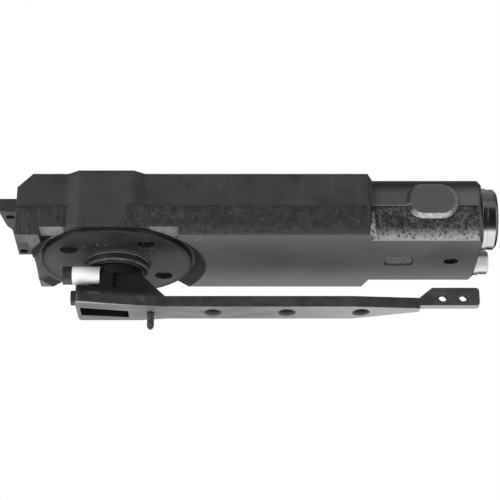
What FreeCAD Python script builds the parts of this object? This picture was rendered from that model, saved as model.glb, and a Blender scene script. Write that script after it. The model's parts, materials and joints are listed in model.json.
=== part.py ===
import FreeCAD, Part
import math
import os
import Sketcher

# Concealed overhead door closer: cast housing, rack piston and spring, spindle with pinion, forged arm.
# Millimetres. The origin is on the spindle axis, on the flange face that bears on the header.
# X runs along the housing towards the end plugs, Y towards its back, Z up into the header.

DIMENSIONS = {
    # Housing
    "body_height": 35.5,
    "body_drop": 1.2,
    "block_left": 50.8,
    "block_right": 135.2,
    "block_front": 40,
    "block_back": 30,
    "corner_cut": 8,
    "shoulder": 3.4,
    "end_right": 196.2,
    "end_front": 35.5,
    "end_back": 25.5,
    "end_round": 5,
    "end_front_corner": 8,
    "end_back_corner": 10.5,
    "end_milled": 1.4,
    "end_bevel": 2.2,
    "cast_step": 0.4,
    "cast_step_end": 1.2,
    "cast_margin": 2.8,
    "cast_high": 15.3,
    "cast_high_end": 18,
    "bulge_left": 18,
    "bulge_right": 11,
    "bulge_slope": 6,
    "bulge_front": 44,
    "pad_from_end": 26.8,
    "pad_width": 23.2,
    "pad_low": 12.3,
    "pad_height": 16,
    "pad_round": 7,
    "pad_rise": 2.2,
    "pad_skirt": 2.1,
    "pocket_from_end": 42.8,
    "pocket_length": 15.8,
    "pocket_width": 12,
    "pocket_depth": 1.2,
    "pocket_front": 5.2,
    "pocket_round": 3,
    "recess_depth": 4.6,
    "recess_radius": 48.5,
    "recess_draft": 6,
    "notch_left": 38.4,
    "notch_right": 34.7,
    "notch_inner": 28,
    "lip_drop": 1.65,
    "lip_gap": 0.3,
    "step_left": 45,
    "step_front": 30,
    "lug_reach": 61.5,
    "lug_low": 16.8,
    "lug_thickness": 7.6,
    "lug_front": 30,
    "lug_tip_back": 12,
    "lug_tip_reach": 59.5,
    "lug_neck": 7.4,
    "lug_waist": 57.3,
    "lug_back": 26,
    "lug_back_reach": 58,
    "lug_hole_radius": 2.4,
    "lug_hole_reach": 56.2,
    "lug_hole_front": 23.1,
    "step_hole_reach": 54.6,
    "lug_hole_back": 21.5,
    "lug_hole_depth": 6,
    # Flange
    "flange_radius": 41,
    "flange_bevel": 0.6,
    "boss_wall": 3.5,
    "boss_blend": 1.2,
    "flange_boss_depth": 5.4,
    "neck_height": 2.2,
    "neck_wall": 1.9,
    "mount_circle": 60,
    "mount_hole_radius": 5,
    "mount_hole_count": 4,
    "mount_hole_angle": 35,
    "flange_seal_inset": 3.5,
    # Shared fits and seals
    "running_clearance": 0.05,
    "fit_clearance": 0.02,
    "seal_width": 1.8,
    "seal_depth": 1.4,
    # Spindle and its bearings
    "lower_journal": 10,
    "upper_journal": 8,
    "core_step": 0.1,
    "collar_wall": 1.2,
    "collar_height": 1.2,
    "bearing_wall": 2.5,
    "pinion_gap": 1.85,
    "lip_seal_height": 4,
    "lip_seal_wall": 4,
    "lip_relief": 1.3,
    "washer_height": 1,
    "washer_wall": 1.5,
    "top_wall": 2,
    "spindle_end_gap": 0.35,
    "tang_width": 14,
    "tang_length": 17,
    # Rack and pinion
    "gear_module": 2,
    "pinion_teeth": 12,
    "pressure_angle": 25,
    "dedendum_factor": 1.25,
    "pinion_face": 12.4,
    "tooth_backlash": 0.12,
    "tip_clearance": 0.5,
    "rack_gaps": 7,
    "rack_gaps_ahead": 1,
    "rack_end_gap": 1.18,
    # Bore, piston and spring
    "bore_radius": 11.5,
    "bore_offset": 19,
    "neck_gap": 0.1,
    "bore_end_gap": 3,
    "piston_tail": 3,
    "piston_head": 17,
    "piston_ring_offset": 7,
    "check_bore_radius": 3,
    "check_bore_depth": 8,
    "check_passage_radius": 1.2,
    "check_ball_radius": 2.6,
    "retainer_height": 1.5,
    "spring_wire": 4,
    "spring_clearance": 0.9,
    "spring_turns": 14,
    "spring_gap": 0.1,
    "spring_seat_height": 3,
    "spring_seat_bore": 4,
    # End plugs
    "plug_head_radius": 16.3,
    "plug_head_length": 8.4,
    "plug_bevel": 1.5,
    "plug_collar_rise": 0.5,
    "plug_collar_length": 2.6,
    "plug_spigot": 11,
    "plug_seal_offset": 4,
    "plug_key": 12,
    "plug_key_depth": 5,
    "channel_radius": 4.5,
    "channel_back": 15,
    "channel_height": 8.2,
    "channel_length": 46.2,
    "channel_head_radius": 6.6,
    "channel_bevel": 0.8,
    "channel_spigot": 9,
    "channel_key": 5,
    # Speed valve
    "valve_from_end": 14.5,
    "valve_front": 4.7,
    "valve_radius": 4,
    "valve_depth": 10,
    "valve_sunk": 2.5,
    "valve_tip": 2.5,
    "valve_slot": 1.2,
    "valve_slot_depth": 1.4,
    "valve_seal_offset": 2.6,
    # Arm
    "hub_gap": 0.5,
    "hub_left": 14.4,
    "hub_right": 12.8,
    "hub_shoulder": 10,
    "flare_right": 23.5,
    "flare_height": 3.2,
    "head_left": 20.6,
    "head_front": 14.8,
    "head_back": 11,
    "head_skew": 4,
    "ledge_front": 9.6,
    "ledge_left": 1,
    "head_round": 2.5,
    "shelf_depth": 19.1,
    "bar_top": 23,
    "bar_bottom": 29.2,
    "bar_half_width": 8.5,
    "bar_start": 27,
    "taper_start": 128,
    "taper_end": 164,
    "taper_lift": 1.2,
    "tab_start": 171,
    "tab_end": 196.5,
    "tab_top": 15.9,
    "tab_bottom": 26.2,
    "tab_front": 3,
    "tab_back": 1.7,
    "tab_round": 2,
    "tab_hole_first": 176.7,
    "tab_hole_spacing": 11,
    "tab_hole_radius": 2.3,
    "tab_hole_depth": 21.5,
    "bar_hole_first": 52.6,
    "bar_hole_spacing": 39.9,
    "bar_hole_radius": 4.7,
    "bar_hole_count": 3,
    "socket_left": 18.6,
    "socket_depth": 9.7,
    "slot_front_skew": 0.19,
    "slot_back_skew": 0.13,
    "lock_block_height": 5.2,
    "buffer_right": 8,
    "buffer_length": 14.8,
    "buffer_radius": 4.9,
    "buffer_front": 9.6,
    "buffer_depth": 11.6,
    "buffer_shank": 2,
    "buffer_thread": 6,
    "buffer_head_length": 5.2,
    "buffer_head_radius": 4.9,
    "buffer_key": 5,
    "buffer_key_depth": 2.6,
    "buffer_clearance": 0.35,
    "lock_screw_radius": 2.5,
    "lock_head_radius": 4,
    "lock_head_length": 3.2,
    "lock_key": 4,
    "lock_key_depth": 1.6,
    "lock_front": 3.6,
    "lock_depth": 22.2,
    "set_screw_along": 19.1,
    "set_screw_radius": 2,
    "set_screw_point": 1,
    "set_screw_low": 38.7,
    "set_screw_high": 19.2,
}

# A straight edge counts as lying on a plane within NEAR; a cut runs OVERCUT past the outside it opens
NEAR = 1e-3
OVERCUT = "1"
FLANK_POINTS = 7

# Levels and places that several pieces share
BODY_BOTTOM = "(-dims.body_drop)"
BODY_TOP = "(dims.body_height - dims.body_drop)"
RECESS_FLOOR = "(dims.recess_depth - dims.body_drop)"
NECK_TOP = f"({RECESS_FLOOR} + dims.neck_height)"
BOSS_BOTTOM = "(-dims.flange_boss_depth)"
LIP_SEAL_TOP = f"({BOSS_BOTTOM} + dims.lip_seal_height)"
BEARING_TOP = f"({BODY_TOP} - dims.top_wall)"
BORE_Y = "(-dims.bore_offset)"
BORE_Z = f"({NECK_TOP} + dims.neck_gap + dims.bore_radius)"
PITCH_RADIUS = "(dims.gear_module * dims.pinion_teeth / 2)"
TIP_RADIUS = f"({PITCH_RADIUS} + dims.gear_module)"
DEDENDUM = "(dims.dedendum_factor * dims.gear_module)"
CORE_RADIUS = f"({PITCH_RADIUS} - {DEDENDUM} - dims.core_step)"
COLLAR_RADIUS = "(dims.lower_journal + dims.collar_wall)"
LOWER_BEARING_RADIUS = "(dims.lower_journal + dims.bearing_wall)"
UPPER_BEARING_RADIUS = "(dims.upper_journal + dims.bearing_wall)"
WASHER_SPACE = "(dims.washer_height + dims.running_clearance)"
OVER_PINION = f"({BORE_Z} + dims.pinion_face / 2 + dims.pinion_gap + {WASHER_SPACE})"
BEARING_CHORD = f"sqrt(dims.bore_radius ^ 2 - (dims.bore_offset - {UPPER_BEARING_RADIUS}) ^ 2)"
OVER_PISTON = f"({BORE_Z} + {BEARING_CHORD} + dims.tip_clearance)"
CHAMBER_TOP = f"(max({OVER_PINION}; {OVER_PISTON}))"
SHOULDER_TOP = f"({CHAMBER_TOP} - {WASHER_SPACE})"
NECK_RADIUS = f"(max({TIP_RADIUS} + dims.tip_clearance; {LOWER_BEARING_RADIUS} + dims.neck_wall))"
CHAMBER_RADIUS = f"({NECK_RADIUS} + dims.running_clearance)"
FLANGE_SEAL_RADIUS = f"({NECK_RADIUS} + dims.flange_seal_inset)"
LIP_SEAL_RADIUS = "(dims.lower_journal + dims.lip_seal_wall)"
BOSS_RADIUS = f"({LIP_SEAL_RADIUS} + dims.boss_wall)"
RACK_PITCH = "(dims.gear_module * pi)"
RACK_LEFT = f"({RACK_PITCH} * (dims.rack_gaps_ahead + 1 - dims.rack_gaps))"
RACK_START = f"({RACK_LEFT} - {RACK_PITCH} / 2 - dims.tip_clearance)"
RACK_END = f"(sqrt({TIP_RADIUS} ^ 2 - (dims.bore_offset - dims.bore_radius) ^ 2) + dims.rack_end_gap)"
PISTON_LEFT = f"({RACK_START} - dims.piston_tail)"
PISTON_RIGHT = f"({RACK_END} + dims.piston_head)"
BORE_LEFT = f"({PISTON_LEFT} - dims.bore_end_gap)"
SPRING_RADIUS = "(dims.bore_radius - dims.spring_clearance - dims.spring_wire / 2)"
PAD_X = "(dims.end_right - dims.pad_from_end)"
POCKET_X = "(dims.end_right - dims.pocket_from_end)"
VALVE_X = "(dims.end_right - dims.valve_from_end)"
PLUG_LEFT = "(dims.end_right - dims.plug_spigot)"
SEAT_LEFT = f"({PLUG_LEFT} - dims.spring_seat_height)"
CHANNEL_Z = "(dims.channel_height - dims.body_drop)"
HUB_TOP = f"({BOSS_BOTTOM} - dims.hub_gap)"
TANG_BOTTOM = f"({HUB_TOP} - dims.tang_length)"
TANG_HALF = "(dims.tang_width / 2 + dims.running_clearance)"
COLLAR_BOTTOM = f"({NECK_TOP} + {WASHER_SPACE})"

doc = FreeCAD.newDocument("door_closer")
dims = doc.addObject("Spreadsheet::Sheet", "dims")
for row, (alias, number) in enumerate(DIMENSIONS.items(), 1):
    dims.set(f"A{row}", alias)
    dims.set(f"B{row}", str(number))
    dims.setAlias(f"B{row}", alias)
doc.recompute()

sub_parts = []


def size(expression):
    """The present value of an expression of sheet sizes."""
    return float(dims.evalExpression(str(expression)))


def new_body(label, place=None):
    """A body of its own name; place gives expressions for its position."""
    body = doc.addObject("PartDesign::Body", label)
    body.Label = label
    for axis, expression in (place or {}).items():
        body.setExpression(f"Placement.Base.{axis}", expression)
    return body


def keep(piece):
    """Marks an object of the document as a finished sub-part."""
    sub_parts.append(piece)
    return piece


def new_sketch(body, name, plane, start="0"):
    """A sketch on one of the body's origin planes, moved along the plane's normal to start."""
    sketch = body.newObject("Sketcher::SketchObject", name)
    support = next(item for item in body.Origin.OriginFeatures if item.Role == plane)
    sketch.AttachmentSupport = (support, [""])
    sketch.MapMode = "FlatFace"
    sketch.setExpression("AttachmentOffset.Base.z", start)
    return sketch


def tie(sketch, kind, geometry, point, expression):
    """Fixes one coordinate of a sketch point to an expression."""
    index = sketch.addConstraint(Sketcher.Constraint(kind, -1, 1, geometry, point, size(expression)))
    sketch.setExpression(f"Constraints[{index}]", expression)


def outline(sketch, corners):
    """A closed polygon whose corners follow pairs of expressions."""
    first = sketch.GeometryCount
    places = [FreeCAD.Vector(size(x), size(y), 0) for x, y in corners]
    count = len(corners)
    for index in range(count):
        sketch.addGeometry(Part.LineSegment(places[index], places[(index + 1) % count]))
    for index in range(count):
        following = first + (index + 1) % count
        sketch.addConstraint(Sketcher.Constraint("Coincident", first + index, 2, following, 1))
    for index, (x, y) in enumerate(corners):
        tie(sketch, "DistanceX", first + index, 1, x)
        tie(sketch, "DistanceY", first + index, 1, y)
    return sketch


def rectangle(sketch, left, right, low, high):
    return outline(sketch, [(left, low), (right, low), (right, high), (left, high)])


def circle(sketch, x, y, radius):
    """A circle whose centre and radius follow expressions."""
    centre = FreeCAD.Vector(size(x), size(y), 0)
    curve = sketch.addGeometry(Part.Circle(centre, FreeCAD.Vector(0, 0, 1), size(radius)))
    tie(sketch, "DistanceX", curve, 3, x)
    tie(sketch, "DistanceY", curve, 3, y)
    index = sketch.addConstraint(Sketcher.Constraint("Radius", curve, size(radius)))
    sketch.setExpression(f"Constraints[{index}]", radius)
    return sketch


def hexagon(sketch, x, y, across_flats):
    """A regular hexagon, the shape of a key socket."""
    radius = f"({across_flats} / sqrt(3))"
    corners = []
    for corner in range(6):
        angle = f"{60 * corner} deg"
        corners.append((f"{x} + {radius} * cos({angle})", f"{y} + {radius} * sin({angle})"))
    return outline(sketch, corners)


def pad(body, sketch, length):
    feature = body.newObject("PartDesign::Pad", f"{sketch.Name}_pad")
    feature.Profile = sketch
    feature.setExpression("Length", length)
    return feature


def cut(body, sketch, length, forward=True, both_ways=False):
    """A pocket along the sketch normal (forward), against it, or half each way; it must take material."""
    doc.recompute()
    before = body.Shape.Volume
    feature = body.newObject("PartDesign::Pocket", f"{sketch.Name}_cut")
    feature.Profile = sketch
    feature.Reversed = forward
    feature.Midplane = both_ways
    feature.setExpression("Length", length)
    doc.recompute()
    if body.Shape.Volume >= before:
        raise ValueError(f"{feature.Name} cuts nothing")
    return feature


def revolve(body, sketch, axis):
    feature = body.newObject("PartDesign::Revolution", f"{sketch.Name}_turned")
    feature.Profile = sketch
    feature.ReferenceAxis = (sketch, [axis])
    feature.Angle = 360
    return feature


def pattern(body, kind, source, direction, count, **spans):
    """Repeats one feature; spans binds the pattern's Length or Angle."""
    feature = body.newObject(f"PartDesign::{kind}", f"{source.Name}_row")
    feature.Originals = [source]
    if kind == "PolarPattern":
        feature.Axis = direction
    else:
        feature.Direction = direction
    feature.setExpression("Occurrences", count)
    for name, expression in spans.items():
        feature.setExpression(name, expression)
    body.Tip = feature
    return feature


def origin_axis(body, role):
    return (next(item for item in body.Origin.OriginFeatures if item.Role == role), [""])


def round_edges(body, kind, name, wanted, length):
    """A fillet or chamfer on the edges that the test accepts."""
    doc.recompute()
    base = body.Tip
    names = [f"Edge{index}" for index, edge in enumerate(base.Shape.Edges, 1) if wanted(edge)]
    feature = body.newObject(f"PartDesign::{kind}", name)
    feature.Base = (base, names)
    feature.setExpression("Radius" if kind == "Fillet" else "Size", length)
    return feature


def along(edge, axis):
    """True for a straight edge that runs along one axis."""
    box = edge.BoundBox
    lengths = {"x": box.XLength, "y": box.YLength, "z": box.ZLength}
    run = lengths.pop(axis)
    return run > NEAR and max(lengths.values()) < NEAR


def ring(label, inner, outer, low, high, place=None, plane="XZ_Plane", axis="V_Axis"):
    """A plain ring turned about the spindle axis, or about the X axis of its own place."""
    body = new_body(label, place)
    sketch = new_sketch(body, f"{label}_section", plane)
    if axis == "V_Axis":
        rectangle(sketch, inner, outer, low, high)
    else:
        rectangle(sketch, low, high, inner, outer)
    revolve(body, sketch, axis)
    return keep(body)


def bore_ring(label, inner, outer, left, right):
    """A ring turned about the piston bore's axis."""
    return ring(label, inner, outer, left, right, {"y": BORE_Y, "z": BORE_Z}, "XY_Plane", "H_Axis")


def turned(label, profile, axis="V_Axis", plane="XZ_Plane", place=None):
    """A body turned from one closed profile."""
    body = new_body(label, place)
    revolve(body, outline(new_sketch(body, f"{label}_section", plane), profile), axis)
    return body


def closer_body():
    """Cast housing: main block, rounded end section, mounting lug, bores and the flange recess."""
    body = new_body("closer_body")
    shoulder_end = "dims.block_right + dims.shoulder"

    section = new_sketch(body, "end_section", "YZ_Plane", "dims.block_right")
    rectangle(section, "-dims.end_front", "dims.end_back", f"{BODY_BOTTOM} - dims.end_milled", BODY_TOP)
    pad(body, section, "dims.end_right - dims.block_right")
    end = size("dims.end_right")
    front = -size("dims.end_front")
    back = size("dims.end_back")
    top = size(BODY_TOP)
    round_edges(body, "Fillet", "end_top_rounding",
                lambda edge: along(edge, "x") and edge.BoundBox.ZMin > top - NEAR, "dims.end_round")
    round_edges(body, "Fillet", "end_front_rounding",
                lambda edge: along(edge, "x") and edge.BoundBox.YMax < front + NEAR
                and edge.BoundBox.ZMax < 0, "dims.end_front_corner")
    round_edges(body, "Fillet", "end_back_rounding",
                lambda edge: along(edge, "x") and edge.BoundBox.YMin > back - NEAR
                and edge.BoundBox.ZMax < 0, "dims.end_back_corner")
    round_edges(body, "Chamfer", "end_bevelling", lambda edge: edge.BoundBox.XMin > end - NEAR,
                "dims.end_bevel")
    milled = new_sketch(body, "milled_underside", "XY_Plane", BODY_BOTTOM)
    rectangle(milled, f"dims.block_right - {OVERCUT}", f"dims.end_right + {OVERCUT}",
              f"-dims.end_front - {OVERCUT}", f"dims.end_back + {OVERCUT}")
    cut(body, milled, f"dims.end_milled + {OVERCUT}", forward=False)
    cast_end = new_sketch(body, "cast_end", "XZ_Plane", "dims.end_front - dims.cast_step_end")
    rectangle(cast_end, f"dims.block_right - {OVERCUT}", f"dims.end_right + {OVERCUT}",
              f"{BODY_BOTTOM} - {OVERCUT}", "dims.cast_high_end")
    cut(body, cast_end, f"dims.cast_step_end + {OVERCUT}")

    face = new_sketch(body, "oval_pad", "XZ_Plane", f"dims.end_front - dims.cast_step_end - {OVERCUT}")
    half_pad = "(dims.pad_width / 2 + dims.pad_skirt)"
    rectangle(face, f"{PAD_X} - {half_pad}", f"{PAD_X} + {half_pad}",
              "dims.pad_low - dims.pad_skirt", "dims.pad_low + dims.pad_height + dims.pad_skirt")
    pad(body, face, f"dims.cast_step_end + {OVERCUT} + dims.pad_rise")
    proud = -size("dims.end_front + dims.pad_rise")
    round_edges(body, "Fillet", "oval_rounding",
                lambda edge: along(edge, "y") and edge.BoundBox.YMin < proud + NEAR,
                "dims.pad_round + dims.pad_skirt")
    round_edges(body, "Chamfer", "oval_skirt", lambda edge: edge.BoundBox.YMax < proud + NEAR,
                "dims.pad_skirt")

    plan = new_sketch(body, "block_plan", "XY_Plane", BODY_BOTTOM)
    outline(plan, [
        ("-dims.block_left", "-dims.block_front"),
        ("-dims.bulge_left - dims.bulge_slope", "-dims.block_front"),
        ("-dims.bulge_left", "-dims.bulge_front"),
        ("dims.bulge_right", "-dims.bulge_front"),
        ("dims.bulge_right + dims.bulge_slope", "-dims.block_front"),
        ("dims.block_right", "-dims.block_front"),
        (shoulder_end, "-dims.end_front + dims.end_round"),
        (shoulder_end, "dims.end_back - dims.end_round"),
        ("dims.block_right", "dims.block_back"),
        ("-dims.block_left", "dims.block_back"),
    ])
    pad(body, plan, "dims.body_height")
    left = -size("dims.block_left")
    round_edges(body, "Chamfer", "corner_chamfer",
                lambda edge: along(edge, "y") and edge.BoundBox.XMax < left + NEAR
                and edge.BoundBox.ZMin > top - NEAR, "dims.corner_cut")
    cast = new_sketch(body, "cast_front", "XZ_Plane", "dims.block_front - dims.cast_step")
    low = f"{BODY_BOTTOM} - {OVERCUT}"
    rectangle(cast, "-dims.block_left + dims.cast_margin", "-dims.bulge_left - dims.bulge_slope",
              low, "dims.cast_high")
    rectangle(cast, "dims.bulge_right + dims.bulge_slope", f"dims.block_right + {OVERCUT}",
              low, "dims.cast_high")
    cut(body, cast, f"dims.cast_step + {OVERCUT}")

    lug = new_sketch(body, "lug_plan", "XY_Plane", "dims.lug_low")
    outline(lug, [
        ("-dims.step_left", "-dims.lug_front"),
        ("-dims.lug_reach", "-dims.lug_front"),
        ("-dims.lug_tip_reach", "-dims.lug_tip_back"),
        ("-dims.lug_waist", "-dims.lug_neck"),
        ("-dims.lug_back_reach", "dims.lug_back"),
        ("-dims.step_left", "dims.lug_back"),
    ])
    pad(body, lug, "dims.lug_thickness")

    step = new_sketch(body, "end_step", "XY_Plane", BODY_BOTTOM)
    rectangle(step, f"-dims.block_left - {OVERCUT}", "-dims.step_left",
              "-dims.step_front", f"dims.block_back + {OVERCUT}")
    cut(body, step, f"dims.lug_low - {BODY_BOTTOM}")

    cavity = new_sketch(body, "spindle_cavity", "XZ_Plane")
    outline(cavity, [
        ("0", BODY_BOTTOM),
        ("dims.recess_radius", BODY_BOTTOM),
        ("dims.recess_radius - dims.recess_draft", RECESS_FLOOR),
        (CHAMBER_RADIUS, RECESS_FLOOR),
        (CHAMBER_RADIUS, CHAMBER_TOP),
        (UPPER_BEARING_RADIUS, CHAMBER_TOP),
        (UPPER_BEARING_RADIUS, BEARING_TOP),
        ("0", BEARING_TOP),
    ])
    groove = body.newObject("PartDesign::Groove", "spindle_cavity_cut")
    groove.Profile = cavity
    groove.ReferenceAxis = (cavity, ["V_Axis"])
    groove.Angle = 360

    notch = new_sketch(body, "front_notch", "XY_Plane", BODY_BOTTOM)
    rectangle(notch, "-dims.notch_left", "dims.notch_right",
              f"-dims.bulge_front - {OVERCUT}", "-dims.notch_inner")
    cut(body, notch, "dims.recess_depth")
    lip = new_sketch(body, "front_lip", "XY_Plane", f"{RECESS_FLOOR} - dims.lip_drop")
    lip_inner = "(dims.flange_radius + dims.lip_gap)"
    spread = (f"(dims.bulge_slope * (dims.bulge_front - {lip_inner})"
              " / (dims.bulge_front - dims.block_front))")
    outline(lip, [
        ("-dims.bulge_left", "-dims.bulge_front"),
        ("dims.bulge_right", "-dims.bulge_front"),
        (f"dims.bulge_right + {spread}", f"-{lip_inner}"),
        (f"-dims.bulge_left - {spread}", f"-{lip_inner}"),
    ])
    pad(body, lip, f"dims.lip_drop + {OVERCUT}")

    bore = new_sketch(body, "piston_bore", "YZ_Plane", BORE_LEFT)
    circle(bore, BORE_Y, BORE_Z, "dims.bore_radius")
    cut(body, bore, f"dims.end_right - {BORE_LEFT}")

    channel = new_sketch(body, "return_channel", "YZ_Plane", "dims.end_right - dims.channel_length")
    circle(channel, "dims.channel_back", CHANNEL_Z, "dims.channel_radius")
    cut(body, channel, "dims.channel_length")

    valve = new_sketch(body, "valve_hole", "XY_Plane", BODY_BOTTOM)
    circle(valve, VALVE_X, "-dims.valve_front", "dims.valve_radius")
    cut(body, valve, "dims.valve_depth")

    pocket = new_sketch(body, "blank_pocket", "XY_Plane", BODY_BOTTOM)
    half_length = "dims.pocket_length / 2"
    half_width = "dims.pocket_width / 2"
    rectangle(pocket, f"{POCKET_X} - {half_length}", f"{POCKET_X} + {half_length}",
              f"-dims.pocket_front - {half_width}", f"-dims.pocket_front + {half_width}")
    cut(body, pocket, "dims.pocket_depth")
    pocket_top = size(f"{BODY_BOTTOM} + dims.pocket_depth")
    pocket_reach = size(f"{POCKET_X} - dims.pocket_length")
    round_edges(body, "Fillet", "pocket_rounding",
                lambda edge: along(edge, "z") and edge.BoundBox.XMin > pocket_reach
                and abs(edge.BoundBox.ZMax - pocket_top) < NEAR, "dims.pocket_round")

    front_hole = new_sketch(body, "lug_hole", "XY_Plane", "dims.lug_low")
    circle(front_hole, "-dims.lug_hole_reach", "-dims.lug_hole_front", "dims.lug_hole_radius")
    cut(body, front_hole, "dims.lug_thickness")
    back_hole = new_sketch(body, "step_hole", "XY_Plane", "dims.lug_low")
    circle(back_hole, "-dims.step_hole_reach", "dims.lug_hole_back", "dims.lug_hole_radius")
    cut(body, back_hole, "dims.lug_hole_depth")
    return keep(body)


def spindle_flange():
    """Bearing flange: disc in the housing recess, boss below, neck in the chamber, mounting holes."""
    groove_outer = f"({FLANGE_SEAL_RADIUS} + dims.seal_width)"
    groove_floor = f"({RECESS_FLOOR} - dims.seal_depth)"
    body = turned("spindle_flange", [
        (LIP_SEAL_RADIUS, BOSS_BOTTOM),
        (f"{BOSS_RADIUS} - dims.flange_bevel", BOSS_BOTTOM),
        (BOSS_RADIUS, f"{BOSS_BOTTOM} + dims.flange_bevel"),
        (BOSS_RADIUS, "-dims.boss_blend"),
        (f"{BOSS_RADIUS} + dims.boss_blend", "0"),
        ("dims.flange_radius - dims.flange_bevel", "0"),
        ("dims.flange_radius", "dims.flange_bevel"),
        ("dims.flange_radius", RECESS_FLOOR),
        (groove_outer, RECESS_FLOOR),
        (groove_outer, groove_floor),
        (FLANGE_SEAL_RADIUS, groove_floor),
        (FLANGE_SEAL_RADIUS, RECESS_FLOOR),
        (NECK_RADIUS, RECESS_FLOOR),
        (NECK_RADIUS, NECK_TOP),
        (LOWER_BEARING_RADIUS, NECK_TOP),
        (LOWER_BEARING_RADIUS, LIP_SEAL_TOP),
        (LIP_SEAL_RADIUS, LIP_SEAL_TOP),
    ])
    angle = "dims.mount_hole_angle * 1 deg"
    hole = new_sketch(body, "mount_hole", "XY_Plane")
    circle(hole, f"dims.mount_circle / 2 * cos({angle})", f"dims.mount_circle / 2 * sin({angle})",
           "dims.mount_hole_radius")
    first = cut(body, hole, RECESS_FLOOR)
    pattern(body, "PolarPattern", first, origin_axis(body, "Z_Axis"), "dims.mount_hole_count")
    return keep(body)


def spindle_supports():
    """Bearings, thrust washers and seals round the spindle."""
    clearance = "dims.running_clearance"
    low = f"dims.lower_journal + {clearance}"
    high = f"dims.upper_journal + {clearance}"
    ring("lower_bearing", low, f"{LOWER_BEARING_RADIUS} - dims.fit_clearance", LIP_SEAL_TOP, NECK_TOP)
    ring("upper_bearing", high, f"{UPPER_BEARING_RADIUS} - dims.fit_clearance", CHAMBER_TOP, BEARING_TOP)
    ring("lower_thrust_washer", low, "dims.lower_journal + dims.washer_wall",
         NECK_TOP, f"{NECK_TOP} + dims.washer_height")
    ring("upper_thrust_washer", high, "dims.upper_journal + dims.washer_wall",
         f"{CHAMBER_TOP} - dims.washer_height", CHAMBER_TOP)
    ring("flange_seal", f"{FLANGE_SEAL_RADIUS} + dims.fit_clearance",
         f"{FLANGE_SEAL_RADIUS} + dims.seal_width - dims.fit_clearance",
         f"{RECESS_FLOOR} - dims.seal_depth", RECESS_FLOOR)
    outer = f"({LIP_SEAL_RADIUS} - dims.fit_clearance)"
    relief = "(dims.lower_journal + dims.lip_relief)"
    middle = f"({BOSS_BOTTOM} + dims.lip_seal_height / 2)"
    keep(turned("spindle_seal", [
        (outer, BOSS_BOTTOM),
        (outer, LIP_SEAL_TOP),
        (relief, LIP_SEAL_TOP),
        (low, middle),
        (relief, BOSS_BOTTOM),
    ]))


def pinion_shape():
    """Involute pinion, one tooth pointing to the rack, thinned by the backlash."""
    teeth = round(size("dims.pinion_teeth"))
    module = size("dims.gear_module")
    pressure = math.radians(size("dims.pressure_angle"))
    pitch = size(PITCH_RADIUS)
    base = pitch * math.cos(pressure)
    tip = pitch + module
    root = pitch - size(DEDENDUM)
    half_tooth = math.pi / (2 * teeth) - size("dims.tooth_backlash") / (2 * pitch)
    base_half = half_tooth + math.tan(pressure) - pressure
    start = max(base, root)

    def flank_angle(radius):
        roll = math.acos(min(1.0, base / radius))
        return base_half - (math.tan(roll) - roll)

    def place(radius, angle):
        return FreeCAD.Vector(radius * math.sin(angle), -radius * math.cos(angle), 0)

    edges = []
    for tooth in range(teeth):
        middle = 2 * math.pi * tooth / teeth
        radii = [start + (tip - start) * step / (FLANK_POINTS - 1) for step in range(FLANK_POINTS)]
        rising = [place(radius, middle - flank_angle(radius)) for radius in radii]
        falling = [place(radius, middle + flank_angle(radius)) for radius in reversed(radii)]
        foot = place(root, middle - base_half)
        heel = place(root, middle + base_half)
        next_foot = place(root, middle + 2 * math.pi / teeth - base_half)
        for flank in (rising, falling):
            curve = Part.BSplineCurve()
            curve.interpolate(flank)
            edges.append(curve.toShape())
        edges.insert(-2, Part.LineSegment(foot, rising[0]).toShape())
        edges.insert(-1, Part.Arc(rising[-1], place(tip, middle), falling[0]).toShape())
        edges.append(Part.LineSegment(falling[-1], heel).toShape())
        edges.append(Part.Arc(heel, place(root, middle + math.pi / teeth), next_foot).toShape())
    profile = Part.Face(Part.Wire(edges))
    shape = profile.extrude(FreeCAD.Vector(0, 0, size("dims.pinion_face")))
    shape.translate(FreeCAD.Vector(0, 0, size(f"{BORE_Z} - dims.pinion_face / 2")))
    return shape


def spindle():
    """Spindle: square tang, journals, thrust collar and pinion in one forging."""
    shaft = turned("spindle_shaft", [
        ("0", HUB_TOP),
        ("dims.lower_journal", HUB_TOP),
        ("dims.lower_journal", COLLAR_BOTTOM),
        (COLLAR_RADIUS, COLLAR_BOTTOM),
        (COLLAR_RADIUS, f"{COLLAR_BOTTOM} + dims.collar_height"),
        (CORE_RADIUS, f"{COLLAR_BOTTOM} + dims.collar_height"),
        (CORE_RADIUS, SHOULDER_TOP),
        ("dims.upper_journal", SHOULDER_TOP),
        ("dims.upper_journal", f"{BEARING_TOP} - dims.spindle_end_gap"),
        ("0", f"{BEARING_TOP} - dims.spindle_end_gap"),
    ])
    tang = new_sketch(shaft, "tang", "XY_Plane", TANG_BOTTOM)
    half = "dims.tang_width / 2"
    rectangle(tang, f"-{half}", half, f"-{half}", half)
    pad(shaft, tang, "dims.tang_length")
    pinion = doc.addObject("Part::Feature", "pinion")
    pinion.Shape = pinion_shape()
    whole = doc.addObject("Part::Fuse", "spindle")
    whole.Base = shaft
    whole.Tool = pinion
    whole.Label = "spindle"
    return keep(whole)


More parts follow.
